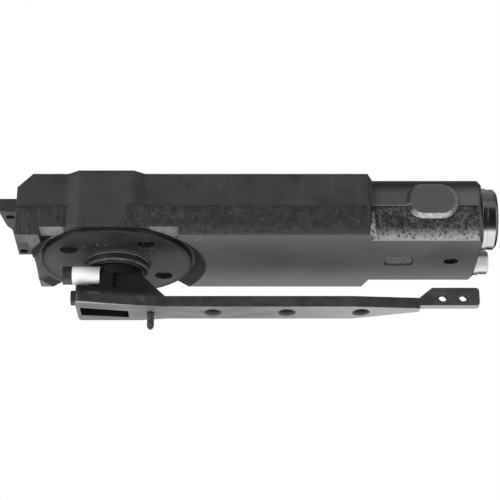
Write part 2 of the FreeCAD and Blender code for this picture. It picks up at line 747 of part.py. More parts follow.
def piston():
    """Piston with the rack milled in its side, a ring groove and the check valve bore."""
    radius = "(dims.bore_radius - dims.running_clearance)"
    groove_left = f"({PISTON_RIGHT} - dims.piston_ring_offset - dims.seal_width)"
    groove_right = f"({PISTON_RIGHT} - dims.piston_ring_offset)"
    check_left = f"({PISTON_RIGHT} - dims.check_bore_depth)"
    body = turned("piston", [
        (PISTON_LEFT, "dims.check_passage_radius"),
        (PISTON_LEFT, radius),
        (groove_left, radius),
        (groove_left, f"{radius} - dims.seal_depth"),
        (groove_right, f"{radius} - dims.seal_depth"),
        (groove_right, radius),
        (PISTON_RIGHT, radius),
        (PISTON_RIGHT, "dims.check_bore_radius"),
        (check_left, "dims.check_bore_radius"),
        (check_left, "dims.check_passage_radius"),
    ], "H_Axis", "XY_Plane", {"y": BORE_Y, "z": BORE_Z})
    pitch_line = f"(dims.bore_offset - {PITCH_RADIUS})"
    tips = f"({pitch_line} + dims.gear_module)"
    roots = f"({pitch_line} - {DEDENDUM})"
    slope = "tan(dims.pressure_angle * 1 deg)"
    at_tip = f"({RACK_PITCH} / 4 + dims.gear_module * {slope})"
    at_root = f"({RACK_PITCH} / 4 - {DEDENDUM} * {slope})"
    width = "4 * dims.bore_radius"
    flat = new_sketch(body, "rack_flat", "XY_Plane")
    rectangle(flat, RACK_START, RACK_END, tips, f"dims.bore_radius + {OVERCUT}")
    cut(body, flat, width, both_ways=True)
    gap = new_sketch(body, "rack_gap", "XY_Plane")
    over = f"({tips} + dims.tip_clearance)"
    outline(gap, [
        (f"{RACK_LEFT} - {at_root}", roots),
        (f"{RACK_LEFT} + {at_root}", roots),
        (f"{RACK_LEFT} + {at_tip}", tips),
        (f"{RACK_LEFT} + {at_tip}", over),
        (f"{RACK_LEFT} - {at_tip}", over),
        (f"{RACK_LEFT} - {at_tip}", tips),
    ])
    first = cut(body, gap, width, both_ways=True)
    pattern(body, "LinearPattern", first, origin_axis(body, "X_Axis"), "dims.rack_gaps",
            Length=f"{RACK_PITCH} * (dims.rack_gaps - 1)")
    bore_ring("piston_ring", f"{radius} - dims.seal_depth + dims.fit_clearance", radius,
              groove_left, groove_right)
    return keep(body)


def check_valve():
    """Ball on its seat in the piston head, and the ring that keeps it there."""
    seat = f"({PISTON_RIGHT} - dims.check_bore_depth)"
    lift = "sqrt(dims.check_ball_radius ^ 2 - dims.check_passage_radius ^ 2)"
    ball = doc.addObject("Part::Sphere", "check_ball")
    ball.setExpression("Radius", "dims.check_ball_radius")
    ball.setExpression("Placement.Base.x", f"{seat} + {lift} + dims.fit_clearance")
    ball.setExpression("Placement.Base.y", BORE_Y)
    ball.setExpression("Placement.Base.z", BORE_Z)
    keep(ball)
    bore_ring("check_retainer", "dims.check_passage_radius", "dims.check_bore_radius - dims.fit_clearance",
              f"{PISTON_RIGHT} - dims.retainer_height", PISTON_RIGHT)


def closing_spring():
    """Helical compression spring between the piston head and the seat on the end plug."""
    wire = size("dims.spring_wire")
    start = size(f"{PISTON_RIGHT} + dims.spring_gap") + wire / 2
    end = size(f"{SEAT_LEFT} - dims.spring_gap") - wire / 2
    radius = size(SPRING_RADIUS)
    pitch = (end - start) / size("dims.spring_turns")
    path = Part.Wire(Part.makeHelix(pitch, end - start, radius))
    section = Part.Wire(Part.makeCircle(wire / 2, FreeCAD.Vector(radius, 0, 0), FreeCAD.Vector(0, 1, 0)))
    spring = doc.addObject("Part::Feature", "closing_spring")
    spring.Shape = path.makePipeShell([section], True, True)
    place = FreeCAD.Vector(start, size(BORE_Y), size(BORE_Z))
    spring.Placement = FreeCAD.Placement(place, FreeCAD.Rotation(FreeCAD.Vector(0, 1, 0), 90))
    keep(spring)
    bore_ring("spring_seat", "dims.spring_seat_bore", "dims.bore_radius - dims.running_clearance",
              SEAT_LEFT, PLUG_LEFT)


def plug(label, place, spigot, length, head, bevel, key):
    """A plug with a sealed spigot in its bore, a bevelled head and a key socket, plus its seal ring."""
    left = f"(dims.end_right - {length})"
    right = "(dims.end_right + dims.plug_head_length)"
    collar = f"({head} + dims.plug_collar_rise)"
    collar_right = "(dims.end_right + dims.plug_collar_length)"
    groove_left = f"({left} + dims.plug_seal_offset)"
    groove_right = f"({groove_left} + dims.seal_width)"
    floor = f"({spigot} - dims.seal_depth)"
    body = turned(label, [
        (left, "0"),
        (left, spigot),
        (groove_left, spigot),
        (groove_left, floor),
        (groove_right, floor),
        (groove_right, spigot),
        ("dims.end_right", spigot),
        ("dims.end_right", collar),
        (collar_right, collar),
        (collar_right, head),
        (f"{right} - {bevel}", head),
        (right, f"{head} - {bevel}"),
        (right, "0"),
    ], "H_Axis", "XY_Plane", place)
    socket = hexagon(new_sketch(body, f"{label}_key", "YZ_Plane", right), "0", "0", key)
    cut(body, socket, "dims.plug_key_depth", forward=False)
    keep(body)
    ring(f"{label}_seal", f"{floor} + dims.fit_clearance", spigot, groove_left, groove_right,
         place, "XY_Plane", "H_Axis")


def end_plugs():
    """The spring bore's plug and the return channel's plug."""
    plug("end_plug", {"y": BORE_Y, "z": BORE_Z},
         "(dims.bore_radius - dims.fit_clearance)", "dims.plug_spigot",
         "dims.plug_head_radius", "dims.plug_bevel", "dims.plug_key")
    plug("channel_plug", {"y": "dims.channel_back", "z": CHANNEL_Z},
         "(dims.channel_radius - dims.fit_clearance)", "dims.channel_spigot",
         "dims.channel_head_radius", "dims.channel_bevel", "dims.channel_key")


def speed_valve():
    """Slotted regulating screw in the housing's underside, and its seal ring."""
    place = {"x": VALVE_X, "y": "-dims.valve_front"}
    radius = "(dims.valve_radius - dims.running_clearance)"
    low = f"({BODY_BOTTOM} + dims.valve_sunk)"
    groove_low = f"({low} + dims.valve_seal_offset)"
    groove_high = f"({groove_low} + dims.seal_width)"
    top = f"({BODY_BOTTOM} + dims.valve_depth - dims.fit_clearance)"
    body = turned("speed_valve", [
        ("0", low),
        (radius, low),
        (radius, groove_low),
        (f"{radius} - dims.seal_depth", groove_low),
        (f"{radius} - dims.seal_depth", groove_high),
        (radius, groove_high),
        (radius, f"{top} - dims.valve_tip"),
        ("0", top),
    ], place=place)
    slot = new_sketch(body, "driver_slot", "XY_Plane", low)
    rectangle(slot, "-dims.valve_radius", "dims.valve_radius",
              "-dims.valve_slot / 2", "dims.valve_slot / 2")
    cut(body, slot, "dims.valve_slot_depth")
    keep(body)
    ring("speed_valve_seal", f"{radius} - dims.seal_depth + dims.fit_clearance", radius,
         groove_low, groove_high, place)


def slot_front(along_slot):
    """How far forward the skewed slot in the arm's head reaches at one place along it."""
    return f"(-{TANG_HALF} + dims.slot_front_skew * ({along_slot} + dims.socket_left))"


def slot_back(along_slot):
    """How far back the skewed slot in the arm's head reaches at one place along it."""
    return f"({TANG_HALF} - dims.slot_back_skew * ({TANG_HALF} - ({along_slot})))"


def arm():
    """Forged arm: hub and head round the tang, tapered bar with door holes, upright tab at its end."""
    body = new_body("arm")
    side = new_sketch(body, "arm_side", "XZ_Plane", "-dims.head_back")
    outline(side, [
        ("-dims.hub_left", "-dims.hub_shoulder"),
        ("-dims.hub_left", "-dims.shelf_depth"),
        ("-dims.head_left", "-dims.shelf_depth"),
        ("-dims.head_left", "-dims.bar_bottom"),
        ("dims.taper_start", "-dims.bar_bottom"),
        ("dims.taper_end", "-dims.bar_bottom + dims.taper_lift"),
        ("dims.taper_end", "-dims.tab_bottom"),
        ("dims.tab_end", "-dims.tab_bottom"),
        ("dims.tab_end", "-dims.tab_top"),
        ("dims.tab_start", "-dims.tab_top"),
        ("dims.taper_end", "-dims.bar_top + dims.taper_lift"),
        ("dims.taper_start", "-dims.bar_top"),
        ("dims.bar_start", "-dims.bar_top"),
        ("dims.flare_right", "-dims.bar_top + dims.flare_height"),
        ("dims.hub_right", "-dims.hub_shoulder"),
    ])
    pad(body, side, "dims.head_front + dims.head_back")
    left = -size("dims.head_left")
    round_edges(body, "Fillet", "head_rounding",
                lambda edge: along(edge, "z") and edge.BoundBox.XMax < left + NEAR, "dims.head_round")
    tab_end = size("dims.tab_end")
    round_edges(body, "Fillet", "tab_rounding",
                lambda edge: along(edge, "y") and edge.BoundBox.XMin > tab_end - NEAR, "dims.tab_round")

    past_end = f"dims.tab_end + {OVERCUT}"
    front = new_sketch(body, "arm_front", "XY_Plane")
    outline(front, [
        ("-dims.head_left", "-dims.head_front"),
        (TANG_HALF, "-dims.head_front + dims.head_skew"),
        ("dims.bar_start", "-dims.bar_half_width"),
        ("dims.taper_start", "-dims.bar_half_width"),
        ("dims.taper_end", "-dims.tab_front"),
        (past_end, "-dims.tab_front"),
        (past_end, f"-dims.head_front - {OVERCUT}"),
        ("-dims.head_left", f"-dims.head_front - {OVERCUT}"),
    ])
    cut(body, front, "2 * dims.bar_bottom", forward=False)
    back = new_sketch(body, "arm_back", "XY_Plane")
    outline(back, [
        ("dims.hub_right", "dims.head_back"),
        ("dims.bar_start", "dims.bar_half_width"),
        ("dims.taper_start", "dims.bar_half_width"),
        ("dims.taper_end", "dims.tab_back"),
        (past_end, "dims.tab_back"),
        (past_end, f"dims.head_back + {OVERCUT}"),
        ("dims.hub_right", f"dims.head_back + {OVERCUT}"),
    ])
    cut(body, back, "2 * dims.bar_bottom", forward=False)

    ledge = new_sketch(body, "front_ledge", "XY_Plane", "-dims.shelf_depth")
    rectangle(ledge, "-dims.ledge_left", "dims.bar_start",
              f"-dims.head_front - {OVERCUT}", "-dims.ledge_front")
    cut(body, ledge, "dims.shelf_depth - dims.hub_shoulder")
    hub = new_sketch(body, "round_hub", "XY_Plane", f"-dims.hub_shoulder - {OVERCUT}")
    circle(hub, "0", "0", "dims.hub_right")
    pad(body, hub, f"{HUB_TOP} + dims.hub_shoulder + {OVERCUT}")

    notch = new_sketch(body, "buffer_notch", "XY_Plane", "-dims.shelf_depth")
    reach = "(dims.buffer_radius + dims.buffer_clearance)"
    rectangle(notch, f"-dims.head_left - {OVERCUT}", "-dims.buffer_right", f"-dims.head_front - {OVERCUT}",
              f"-dims.buffer_front + {reach}")
    cut(body, notch, f"{HUB_TOP} + dims.shelf_depth")

    tang_end = f"({TANG_BOTTOM} - dims.fit_clearance)"
    tang_hole = rectangle(new_sketch(body, "tang_hole", "XY_Plane", tang_end),
                          f"-{TANG_HALF}", TANG_HALF, f"-{TANG_HALF}", TANG_HALF)
    cut(body, tang_hole, f"{HUB_TOP} - {tang_end}")
    socket = outline(new_sketch(body, "lock_socket", "XY_Plane", "-dims.bar_bottom"), [
        ("-dims.socket_left", slot_front("-dims.socket_left")),
        (TANG_HALF, slot_front(TANG_HALF)),
        (TANG_HALF, slot_back(TANG_HALF)),
        ("-dims.socket_left", slot_back("-dims.socket_left")),
    ])
    cut(body, socket, "dims.socket_depth")

    lock_hole = new_sketch(body, "lock_hole", "YZ_Plane", "-dims.head_left")
    circle(lock_hole, "-dims.lock_front", "-dims.lock_depth", "dims.lock_screw_radius + dims.fit_clearance")
    cut(body, lock_hole, "dims.head_left - dims.socket_left")
    thread = new_sketch(body, "buffer_thread", "YZ_Plane", "-dims.buffer_right")
    circle(thread, "-dims.buffer_front", "-dims.buffer_depth", "dims.buffer_shank + dims.fit_clearance")
    cut(body, thread, "dims.buffer_thread")
    set_hole = new_sketch(body, "set_screw_hole", "XY_Plane", "-dims.bar_bottom")
    circle(set_hole, "dims.set_screw_along", "0", "dims.set_screw_radius + dims.fit_clearance")
    cut(body, set_hole, "dims.bar_bottom - dims.set_screw_high")

    bar_hole = new_sketch(body, "bar_hole", "XY_Plane", "-dims.bar_bottom")
    circle(bar_hole, "dims.bar_hole_first", "0", "dims.bar_hole_radius")
    first = cut(body, bar_hole, "dims.bar_bottom - dims.bar_top + dims.taper_lift")
    pattern(body, "LinearPattern", first, origin_axis(body, "X_Axis"), "dims.bar_hole_count",
            Length="dims.bar_hole_spacing * (dims.bar_hole_count - 1)")
    tab_holes = new_sketch(body, "tab_holes", "XZ_Plane", "-dims.tab_back")
    for along_tab in ("dims.tab_hole_first", "dims.tab_hole_first + dims.tab_hole_spacing"):
        circle(tab_holes, along_tab, "-dims.tab_hole_depth", "dims.tab_hole_radius")
    cut(body, tab_holes, "dims.tab_front + dims.tab_back")
    return keep(body)


def arm_fasteners():
    """What locks the arm on the tang, and the white buffer with its screw."""
    block = new_body("locking_block")
    block_top = "(dims.socket_depth - dims.bar_bottom - dims.fit_clearance)"
    plan = new_sketch(block, "block_section", "XY_Plane", f"{block_top} - dims.lock_block_height")
    left = "(dims.fit_clearance - dims.socket_left)"
    right = "(-dims.tang_width / 2 - dims.fit_clearance)"
    outline(plan, [
        (left, f"{slot_front(left)} + dims.running_clearance"),
        (right, f"{slot_front(right)} + dims.running_clearance"),
        (right, f"{slot_back(right)} - dims.running_clearance"),
        (left, f"{slot_back(left)} - dims.running_clearance"),
    ])
    pad(block, plan, "dims.lock_block_height")
    keep(block)

    lock_place = {"y": "-dims.lock_front", "z": "-dims.lock_depth"}
    cap_screw("locking_screw", lock_place, "(-dims.head_left)", "dims.lock_head_length",
              "dims.lock_head_radius", "dims.lock_screw_radius", "(-dims.socket_left)",
              "dims.lock_key", "dims.lock_key_depth")

    buffer_place = {"y": "-dims.buffer_front", "z": "-dims.buffer_depth"}
    sleeve_left = "(-dims.buffer_right - dims.buffer_length)"
    ring("buffer_sleeve", "dims.buffer_shank + dims.running_clearance", "dims.buffer_radius",
         sleeve_left, "-dims.buffer_right", buffer_place, "XY_Plane", "H_Axis")
    cap_screw("buffer_screw", buffer_place, sleeve_left, "dims.buffer_head_length",
              "dims.buffer_head_radius", "dims.buffer_shank", "(dims.buffer_thread - dims.buffer_right)",
              "dims.buffer_key", "dims.buffer_key_depth")

    tip = "dims.set_screw_radius"
    keep(turned("arm_set_screw", [
        ("0", "-dims.set_screw_low"),
        ("dims.set_screw_point", "-dims.set_screw_low"),
        (tip, f"-dims.set_screw_low + {tip} - dims.set_screw_point"),
        (tip, "-dims.set_screw_high"),
        ("0", "-dims.set_screw_high"),
    ], place={"x": "dims.set_screw_along"}))


def cap_screw(label, place, under_head, head_length, head_radius, shank_radius, shank_end, key, key_depth):
    """A socket head screw along X, its head on the left."""
    left = f"({under_head} - {head_length})"
    body = turned(label, [
        (left, "0"),
        (left, head_radius),
        (under_head, head_radius),
        (under_head, shank_radius),
        (shank_end, shank_radius),
        (shank_end, "0"),
    ], "H_Axis", "XY_Plane", place)
    socket = hexagon(new_sketch(body, f"{label}_key", "YZ_Plane", left), "0", "0", key)
    cut(body, socket, key_depth)
    return keep(body)


def write_parts():
    """Checks every object of the document, then writes one file for each sub-part."""
    doc.recompute()
    failed = [item.Name for item in doc.Objects if {"Invalid", "Error"} & set(item.State)]
    bad = [piece.Label for piece in sub_parts if piece.Shape.isNull() or not piece.Shape.isValid()]
    if failed or bad:
        raise RuntimeError(f"failed objects {failed}, bad shapes {bad}")
    os.makedirs("parts", exist_ok=True)
    for piece in sub_parts:
        piece.Shape.exportStep(os.path.join("parts", f"{piece.Label}.step"))
        print(f"{piece.Label}: {len(piece.Shape.Solids)} solid, {piece.Shape.Volume:.1f} mm3")


closer_body()
spindle_flange()
spindle_supports()
spindle()
piston()
check_valve()
closing_spring()
end_plugs()
speed_valve()
arm()
arm_fasteners()
write_parts()
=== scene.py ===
import bpy
import json
import math
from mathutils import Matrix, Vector, noise
from types import SimpleNamespace


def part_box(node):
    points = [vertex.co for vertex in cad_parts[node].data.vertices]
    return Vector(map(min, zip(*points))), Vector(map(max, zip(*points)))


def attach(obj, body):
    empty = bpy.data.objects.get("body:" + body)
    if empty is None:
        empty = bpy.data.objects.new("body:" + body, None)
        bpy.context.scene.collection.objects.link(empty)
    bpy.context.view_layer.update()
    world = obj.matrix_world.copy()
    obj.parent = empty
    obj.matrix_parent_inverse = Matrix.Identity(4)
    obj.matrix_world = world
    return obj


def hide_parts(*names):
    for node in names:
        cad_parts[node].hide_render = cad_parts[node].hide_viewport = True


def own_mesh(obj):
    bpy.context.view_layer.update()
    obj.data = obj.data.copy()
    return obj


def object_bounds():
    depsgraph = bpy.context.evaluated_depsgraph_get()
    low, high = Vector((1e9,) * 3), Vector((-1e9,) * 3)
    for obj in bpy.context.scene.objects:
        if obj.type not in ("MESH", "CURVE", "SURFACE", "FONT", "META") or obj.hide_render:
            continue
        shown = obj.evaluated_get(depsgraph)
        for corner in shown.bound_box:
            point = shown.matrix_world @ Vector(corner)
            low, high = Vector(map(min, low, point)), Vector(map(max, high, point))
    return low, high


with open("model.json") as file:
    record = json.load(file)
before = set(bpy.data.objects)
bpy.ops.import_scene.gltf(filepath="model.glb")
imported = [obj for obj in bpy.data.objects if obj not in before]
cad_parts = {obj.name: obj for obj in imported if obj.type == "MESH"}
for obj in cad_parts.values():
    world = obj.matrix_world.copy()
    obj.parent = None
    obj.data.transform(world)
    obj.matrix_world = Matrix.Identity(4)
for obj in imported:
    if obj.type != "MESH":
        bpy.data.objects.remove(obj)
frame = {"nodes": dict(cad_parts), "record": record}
cad_low, cad_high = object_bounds()
nodes = frame["nodes"]

MM = 0.001

# Camera of the photograph, in the row frame: below the closer, looking up along +Y
CAMERA_TARGET = Vector((72.6, -0.8, 7.5)) * MM
CAMERA_DISTANCE = 868 * MM
CAMERA_ELEVATION = math.radians(-24.3)
CAMERA_LENS = 114
SENSOR_WIDTH = 36
CLIP_START = 10 * MM

# Places on the housing, in millimetres, as the CAD model has them
BODY_BOTTOM = -1.2
BLOCK_LEFT = -50.8
BLOCK_END = 135.2
BLOCK_FRONT = -39.6
CAST_STEP = 0.4
CAST_MARGIN = 2.8
PARTING_BLOCK = 15.3
PARTING_END = 18
BULGE_LEFT = -24
BULGE_RIGHT = 17
BULGE_SLOPE = (6, 4)
END_RIGHT = 194
END_FRONT = -34.3
END_ROUND_Y = -27.5
END_ROUND_Z = 5.4
END_ROUND = 8
PAD_FOOT = -35.5
RECESS_RADIUS = 48.5
RECESS_FLOOR = 3.4
STEP_LEFT = -45
NOTCH = (-38.4, 34.7)
POCKET = (145.5, 161.3, -11.2, 0.8)
VALVE_HOLE = (181.7, -4.7)
VALVE_HOLE_RADIUS = 4
FLANGE_RADIUS = 41
BOSS_RADIUS = 17.5
CHANNEL_PLUG = (15, 7)
CHANNEL_PLUG_RADIUS = 6.6

# Places on the arm, in millimetres, as the CAD model has them
ARM_BOTTOM = -29.2
BAR_TOP = -23
BAR_HOLES = (52.6, 92.5, 132.4)
BAR_HOLE_RADIUS = 4.7

# Limits of painted zones, in millimetres, a little clear of the CAD edges
LIP_INNER = -41.2
NOTCH_BACK = -25
RECESS_CLEAR = 5
POCKET_TOP = 3
VALVE_HOLE_TOP = 9.5
PAD_LEFT = 154.4
UNDERSIDE_TOP = -25.7
HEAD_RIGHT = 22
HEAD_FRONT = -7.5
SLOT = (-19, 7.4)
SLOT_HALF_WIDTH = 7.3
SLOT_TOP = -19
BAR_HOLE_TOP = -20
TAB_LEFT = 165

# Marks of casting, milling and use, and places of painted light and shade, in millimetres, where the
# photograph shows them
# Painted light: places between which the end section and its lower casting edge grow lighter toward the plug
END_LIGHT = (140, 192)
END_EDGE_LIGHT = (145, 185)
# Painted shade: heights between which the end section's front darkens toward its top
END_SHADE = (32, 23.5)
END_FLASH = (138, 160)
END_FLASH_BACK = -30
SLOPE_EDGE = 4.6
SLOPE_LEAN = 0.29
BARE_CORNER = (-46.5, -39)
BARE_CORNER_BACK = -24
SCUFF = (43, 47)
SCUFF_DEPTH = (-38, -31)
MILLED_FLOOR_RIGHT = -20
MILLED_FLOOR_FRONT = -5
UNMILLED_TOP = 1.6
UNMILLED_FRONT = 20
# Painted light and shade on the underside: depths over which it lightens toward the front and the back
UNDER_FRONT = (-36, -8)
UNDER_BACK = (-6, 26)
# Painted light in the bar's holes: height from which it lightens toward the bottom
HOLE_LIGHT_TOP = -25
HEAD_SCUFFS = (((-14, -8, 1.5), (-23.6, -22.4, 0.4)), ((12, 16, 1), (-27, -23.4, 0.8)))

# Edges of soft marks, in millimetres: a place, and the softness on both sides of it
BARE_EDGE = (2.8, 3.6)
BRIGHT_FLASH = (5, 6)
# Edge of the painted shadow of the hub on the flange
FLANGE_SHADOW = (-14, 10)
FLANGE_SPECKS = (-12, 4)
RUBBED_BAR = (110, 50)

# Casting grain, in millimetres: how far it rises over the metal, and how its plates are made
BLOCK_GRAIN = 0.37
END_GRAIN = 0.95
POCKET_GRAIN = 0.6
FLASH_GRAIN = 0.6
GRAIN_SUNK = 0.3
FLASH_SUNK = 2.5
GRAIN_INSET = 0.1
GRAIN_STEP = 0.4
FINE_STEP = 0.3

# Lowest height of the grain as a share of its depth, so that its pits stay clear of the CAD face
GRAIN_FLOOR = 0.06

# Seed of the noise vectors in the end section's grain, which would otherwise follow the clock
GRAIN_SEED = 1795701266

# Set screw's thread
THREAD_SIDES = 32
THREAD_PITCH = 0.7 * MM
THREAD_ROOT = 0.32 * MM
THREAD_POINT = 1.6 * MM
RINGS_PER_TURN = 7

# Floor, in metres
FLOOR_HEIGHT = -1.0
FLOOR_SIZE = 12


class Surface:
    """One procedural material: a Principled shader and the nodes that feed it."""

    def __init__(self, name, **constants):
        self.material = bpy.data.materials.new(name)
        self.material.use_nodes = True
        self.tree = self.material.node_tree
        self.shader = self.tree.nodes["Principled BSDF"]
        for socket, number in constants.items():
            self.shader.inputs[socket.replace("_", " ")].default_value = number
        source = self.add("ShaderNodeTexCoord")
        self.place = source.outputs["Object"]
        self.x, self.y, self.z = self.split(self.place)
        self.facing_x, self.facing_y, self.facing_z = self.split(source.outputs["Normal"])

    def add(self, kind, **settings):
        node = self.tree.nodes.new(kind)
        for name, setting in settings.items():
            setattr(node, name, setting)
        return node

    def feed(self, socket, source):
        """Links an output, or sets a plain number or colour."""
        if isinstance(source, bpy.types.NodeSocket):
            self.tree.links.new(source, socket)
        else:
            socket.default_value = source

    def split(self, source):
        node = self.add("ShaderNodeSeparateXYZ")
        self.feed(node.inputs[0], source)
        return node.outputs[0], node.outputs[1], node.outputs[2]

    def math(self, operation, first, second=0.0, clamp=False):
        node = self.add("ShaderNodeMath", operation=operation, use_clamp=clamp)
        self.feed(node.inputs[0], first)
        self.feed(node.inputs[1], second)
        return node.outputs[0]

    def plus(self, first, second):
        return self.math("ADD", first, second)

    def minus(self, first, second):
        return self.math("SUBTRACT", first, second)

    def times(self, first, second):
        return self.math("MULTIPLY", first, second)

    def over(self, first, second):
        return self.math("DIVIDE", first, second)

    def all_of(self, *factors):
        product = factors[0]
        for factor in factors[1:]:
            product = self.times(product, factor)
        return product

    def any_of(self, *factors):
        largest = factors[0]
        for factor in factors[1:]:
            largest = self.math("MAXIMUM", largest, factor)
        return largest

    def without(self, factor):
        return self.math("SUBTRACT", 1.0, factor, clamp=True)

    def reach(self, first, second):
        """Distance from the line where both numbers are zero."""
        squares = self.plus(self.times(first, first), self.times(second, second))
        return self.math("SQRT", squares)

    def ramp(self, source, low, high, at_low=0.0, at_high=1.0):
        """A smooth step of source between low and high."""
        node = self.add("ShaderNodeMapRange", interpolation_type="SMOOTHSTEP")
        for name, number in zip(("Value", "From Min", "From Max", "To Min", "To Max"),
                                (source, low, high, at_low, at_high)):
            self.feed(node.inputs[name], number)
        return node.outputs[0]

    def across(self, source, low, high):
        """A smooth step of a place between two places in millimetres."""
        return self.ramp(source, low * MM, high * MM)

    def above(self, source, limit, soft=0.2):
        return self.across(source, limit - soft, limit + soft)

    def below(self, source, limit, soft=0.2):
        return self.across(source, limit + soft, limit - soft)

    def within(self, source, low, high, soft=0.2):
        return self.all_of(self.above(source, low, soft), self.below(source, high, soft))

    def stretch(self, x, y, z):
        node = self.add("ShaderNodeMapping")
        self.feed(node.inputs["Vector"], self.place)
        node.inputs["Scale"].default_value = (x, y, z)
        return node.outputs[0]

    def noise(self, scale, detail=4.0, roughness=0.55, vector=None):
        node = self.add("ShaderNodeTexNoise")
        self.feed(node.inputs["Vector"], vector or self.place)
        for name, number in (("Scale", scale), ("Detail", detail), ("Roughness", roughness)):
            node.inputs[name].default_value = number
        return node.outputs["Fac"]

    def waves(self, along, pitch):
        """Even waves along a length, the pitch in millimetres."""
        return self.math("SINE", self.times(along, 2 * math.pi / (pitch * MM)))

    def mix(self, factor, first, second):
        """A colour between first and second."""
        node = self.add("ShaderNodeMix", data_type="RGBA")
        self.feed(node.inputs[0], factor)
        self.feed(node.inputs[6], shade(first))
        self.feed(node.inputs[7], shade(second))
        return node.outputs[2]

    def blend(self, factor, first, second):
        """A number between first and second."""
        node = self.add("ShaderNodeMix", data_type="FLOAT")
        self.feed(node.inputs[0], factor)
        self.feed(node.inputs[2], first)
        self.feed(node.inputs[3], second)
        return node.outputs[0]

    def rounded(self, radius):
        """The normal of the mesh as if its edges were rounded off, the radius in metres."""
        bevel = self.add("ShaderNodeBevel", samples=6)
        self.feed(bevel.inputs["Radius"], radius)
        return bevel.outputs[0]

    def edges(self, radius):
        """Near 1 on the sharp edges of the mesh, 0 on its faces."""
        plain = self.add("ShaderNodeNewGeometry").outputs["Normal"]
        dot = self.add("ShaderNodeVectorMath", operation="DOT_PRODUCT")
        self.feed(dot.inputs[0], self.rounded(radius * MM))
        self.feed(dot.inputs[1], plain)
        return self.ramp(dot.outputs["Value"], 0.985, 0.80)

    def worn_edges(self, radius, patch_scale, amount):
        return self.all_of(self.edges(radius), self.ramp(self.noise(patch_scale, 4), 0.4, 0.64), amount)

    def bump(self, height, strength, depth, normal=None):
        node = self.add("ShaderNodeBump")
        self.feed(node.inputs["Strength"], strength)
        node.inputs["Distance"].default_value = depth * MM
        self.feed(node.inputs["Height"], height)
        if normal:
            self.feed(node.inputs["Normal"], normal)
        return node.outputs[0]

    def finish(self, colour, roughness, normal):
        self.feed(self.shader.inputs["Base Color"], colour)
        self.feed(self.shader.inputs["Roughness"], roughness)
        self.feed(self.shader.inputs["Normal"], normal)
        return self.material


def shade(colour):
    """A colour socket's value: an output as it is, a grey level or three numbers as a colour."""
    if isinstance(colour, bpy.types.NodeSocket):
        return colour
    if isinstance(colour, (int, float)):
        colour = (colour, colour, colour)
    return (*colour, 1.0)


def add_object(name, data):
    """A new object in the scene."""
    piece = bpy.data.objects.new(name, data)
    bpy.context.scene.collection.objects.link(piece)
    return piece


# Housing

def cast_housing():
    """Dark painted iron above, a milled grey underside, bare metal where the paint is rubbed off, and
    painted light and shade.
    """
    s = Surface("cast_housing", Specular_IOR_Level=0.25)
    grain = housing_grain(s)
    zone = housing_zones(s, grain)
    paint = front_paint(s, zone, grain)
    paint = pad_paint(s, zone, grain, paint)
    paint = s.mix(zone.down, paint, milled_iron(s, grain))
    paint = recess_paint(s, zone, grain, paint)
    paint = worn_paint(s, zone, grain, paint)
    roughness = s.blend(zone.down, s.ramp(grain.fine, 0.3, 0.7, 0.5, 0.64), 0.5)
    return s.finish(paint, roughness, housing_normal(s, zone, grain))


def housing_grain(s):
    """The noises that the housing's coats share."""
    return SimpleNamespace(
        fine=s.noise(1400, 4, 0.6),
        streaks=s.noise(420, 4, 0.6, s.stretch(1, 1, 0.12)),
        blotch=s.noise(60, 5, 0.6),
        brushed=s.noise(900, 3, 0.5, s.stretch(0.05, 1, 1)),
        lumps=s.noise(650, 5, 0.62),
        smudge=s.noise(130, 5, 0.68, s.stretch(0.8, 1, 0.6)),
    )


def housing_zones(s, grain):
    """Masks of the housing's faces and marks, each from 0 to 1."""
    zone = SimpleNamespace(down=s.ramp(s.facing_z, -0.75, -0.95), front=s.ramp(s.facing_y, -0.4, -0.8))
    add_front_zones(s, zone, grain)
    add_pad_zones(s, zone)
    add_recess_zones(s, zone)
    add_underside_zones(s, zone)
    return zone


def add_front_zones(s, zone, grain):
    """The bulge over the spindle, what lies beside it, the parting line and the end section."""
    zone.bulge = s.within(s.x, BULGE_LEFT + 2, BULGE_RIGHT - 6, 4)
    left_side = s.below(s.x, BULGE_LEFT + 1, 2)
    right_side = s.within(s.x, BULGE_RIGHT - 5, BULGE_RIGHT + 12, 4)
    zone.beside_bulge = s.all_of(s.any_of(left_side, right_side), zone.front)
    zone.end = s.all_of(s.above(s.x, BLOCK_END + 2, 3), zone.front)

    slanted = s.plus(s.minus(s.x, s.times(s.z, SLOPE_LEAN)), s.times(grain.lumps, 2 * MM))
    zone.rough_slope = s.all_of(s.above(slanted, SLOPE_EDGE, 0.7), s.below(s.x, BULGE_RIGHT + 0.2),
                                s.below(s.y, BLOCK_FRONT - 0.2), s.below(s.z, PARTING_BLOCK - 0.2, 0.3),
                                zone.front)
    steps = [s.within(s.x, side - 1, side + 1) for side in (BULGE_LEFT, BULGE_RIGHT)]
    zone.step_side = s.all_of(s.below(s.z, PARTING_BLOCK - 0.4), s.any_of(*steps))

    parted = s.any_of(s.below(s.x, BULGE_LEFT + 1), s.within(s.x, BULGE_RIGHT - 5, BLOCK_END - 1, 0.5))
    zone.parting = s.all_of(s.within(s.z, PARTING_BLOCK - 1, PARTING_BLOCK + 1.2), parted, zone.front)
    # Uneven strip below the parting line, where a shadow is painted
    uneven = s.plus(s.z, s.times(grain.lumps, 1.2 * MM))
    zone.parting_line = s.all_of(zone.parting, s.below(uneven, PARTING_BLOCK + 1.1, 0.3))


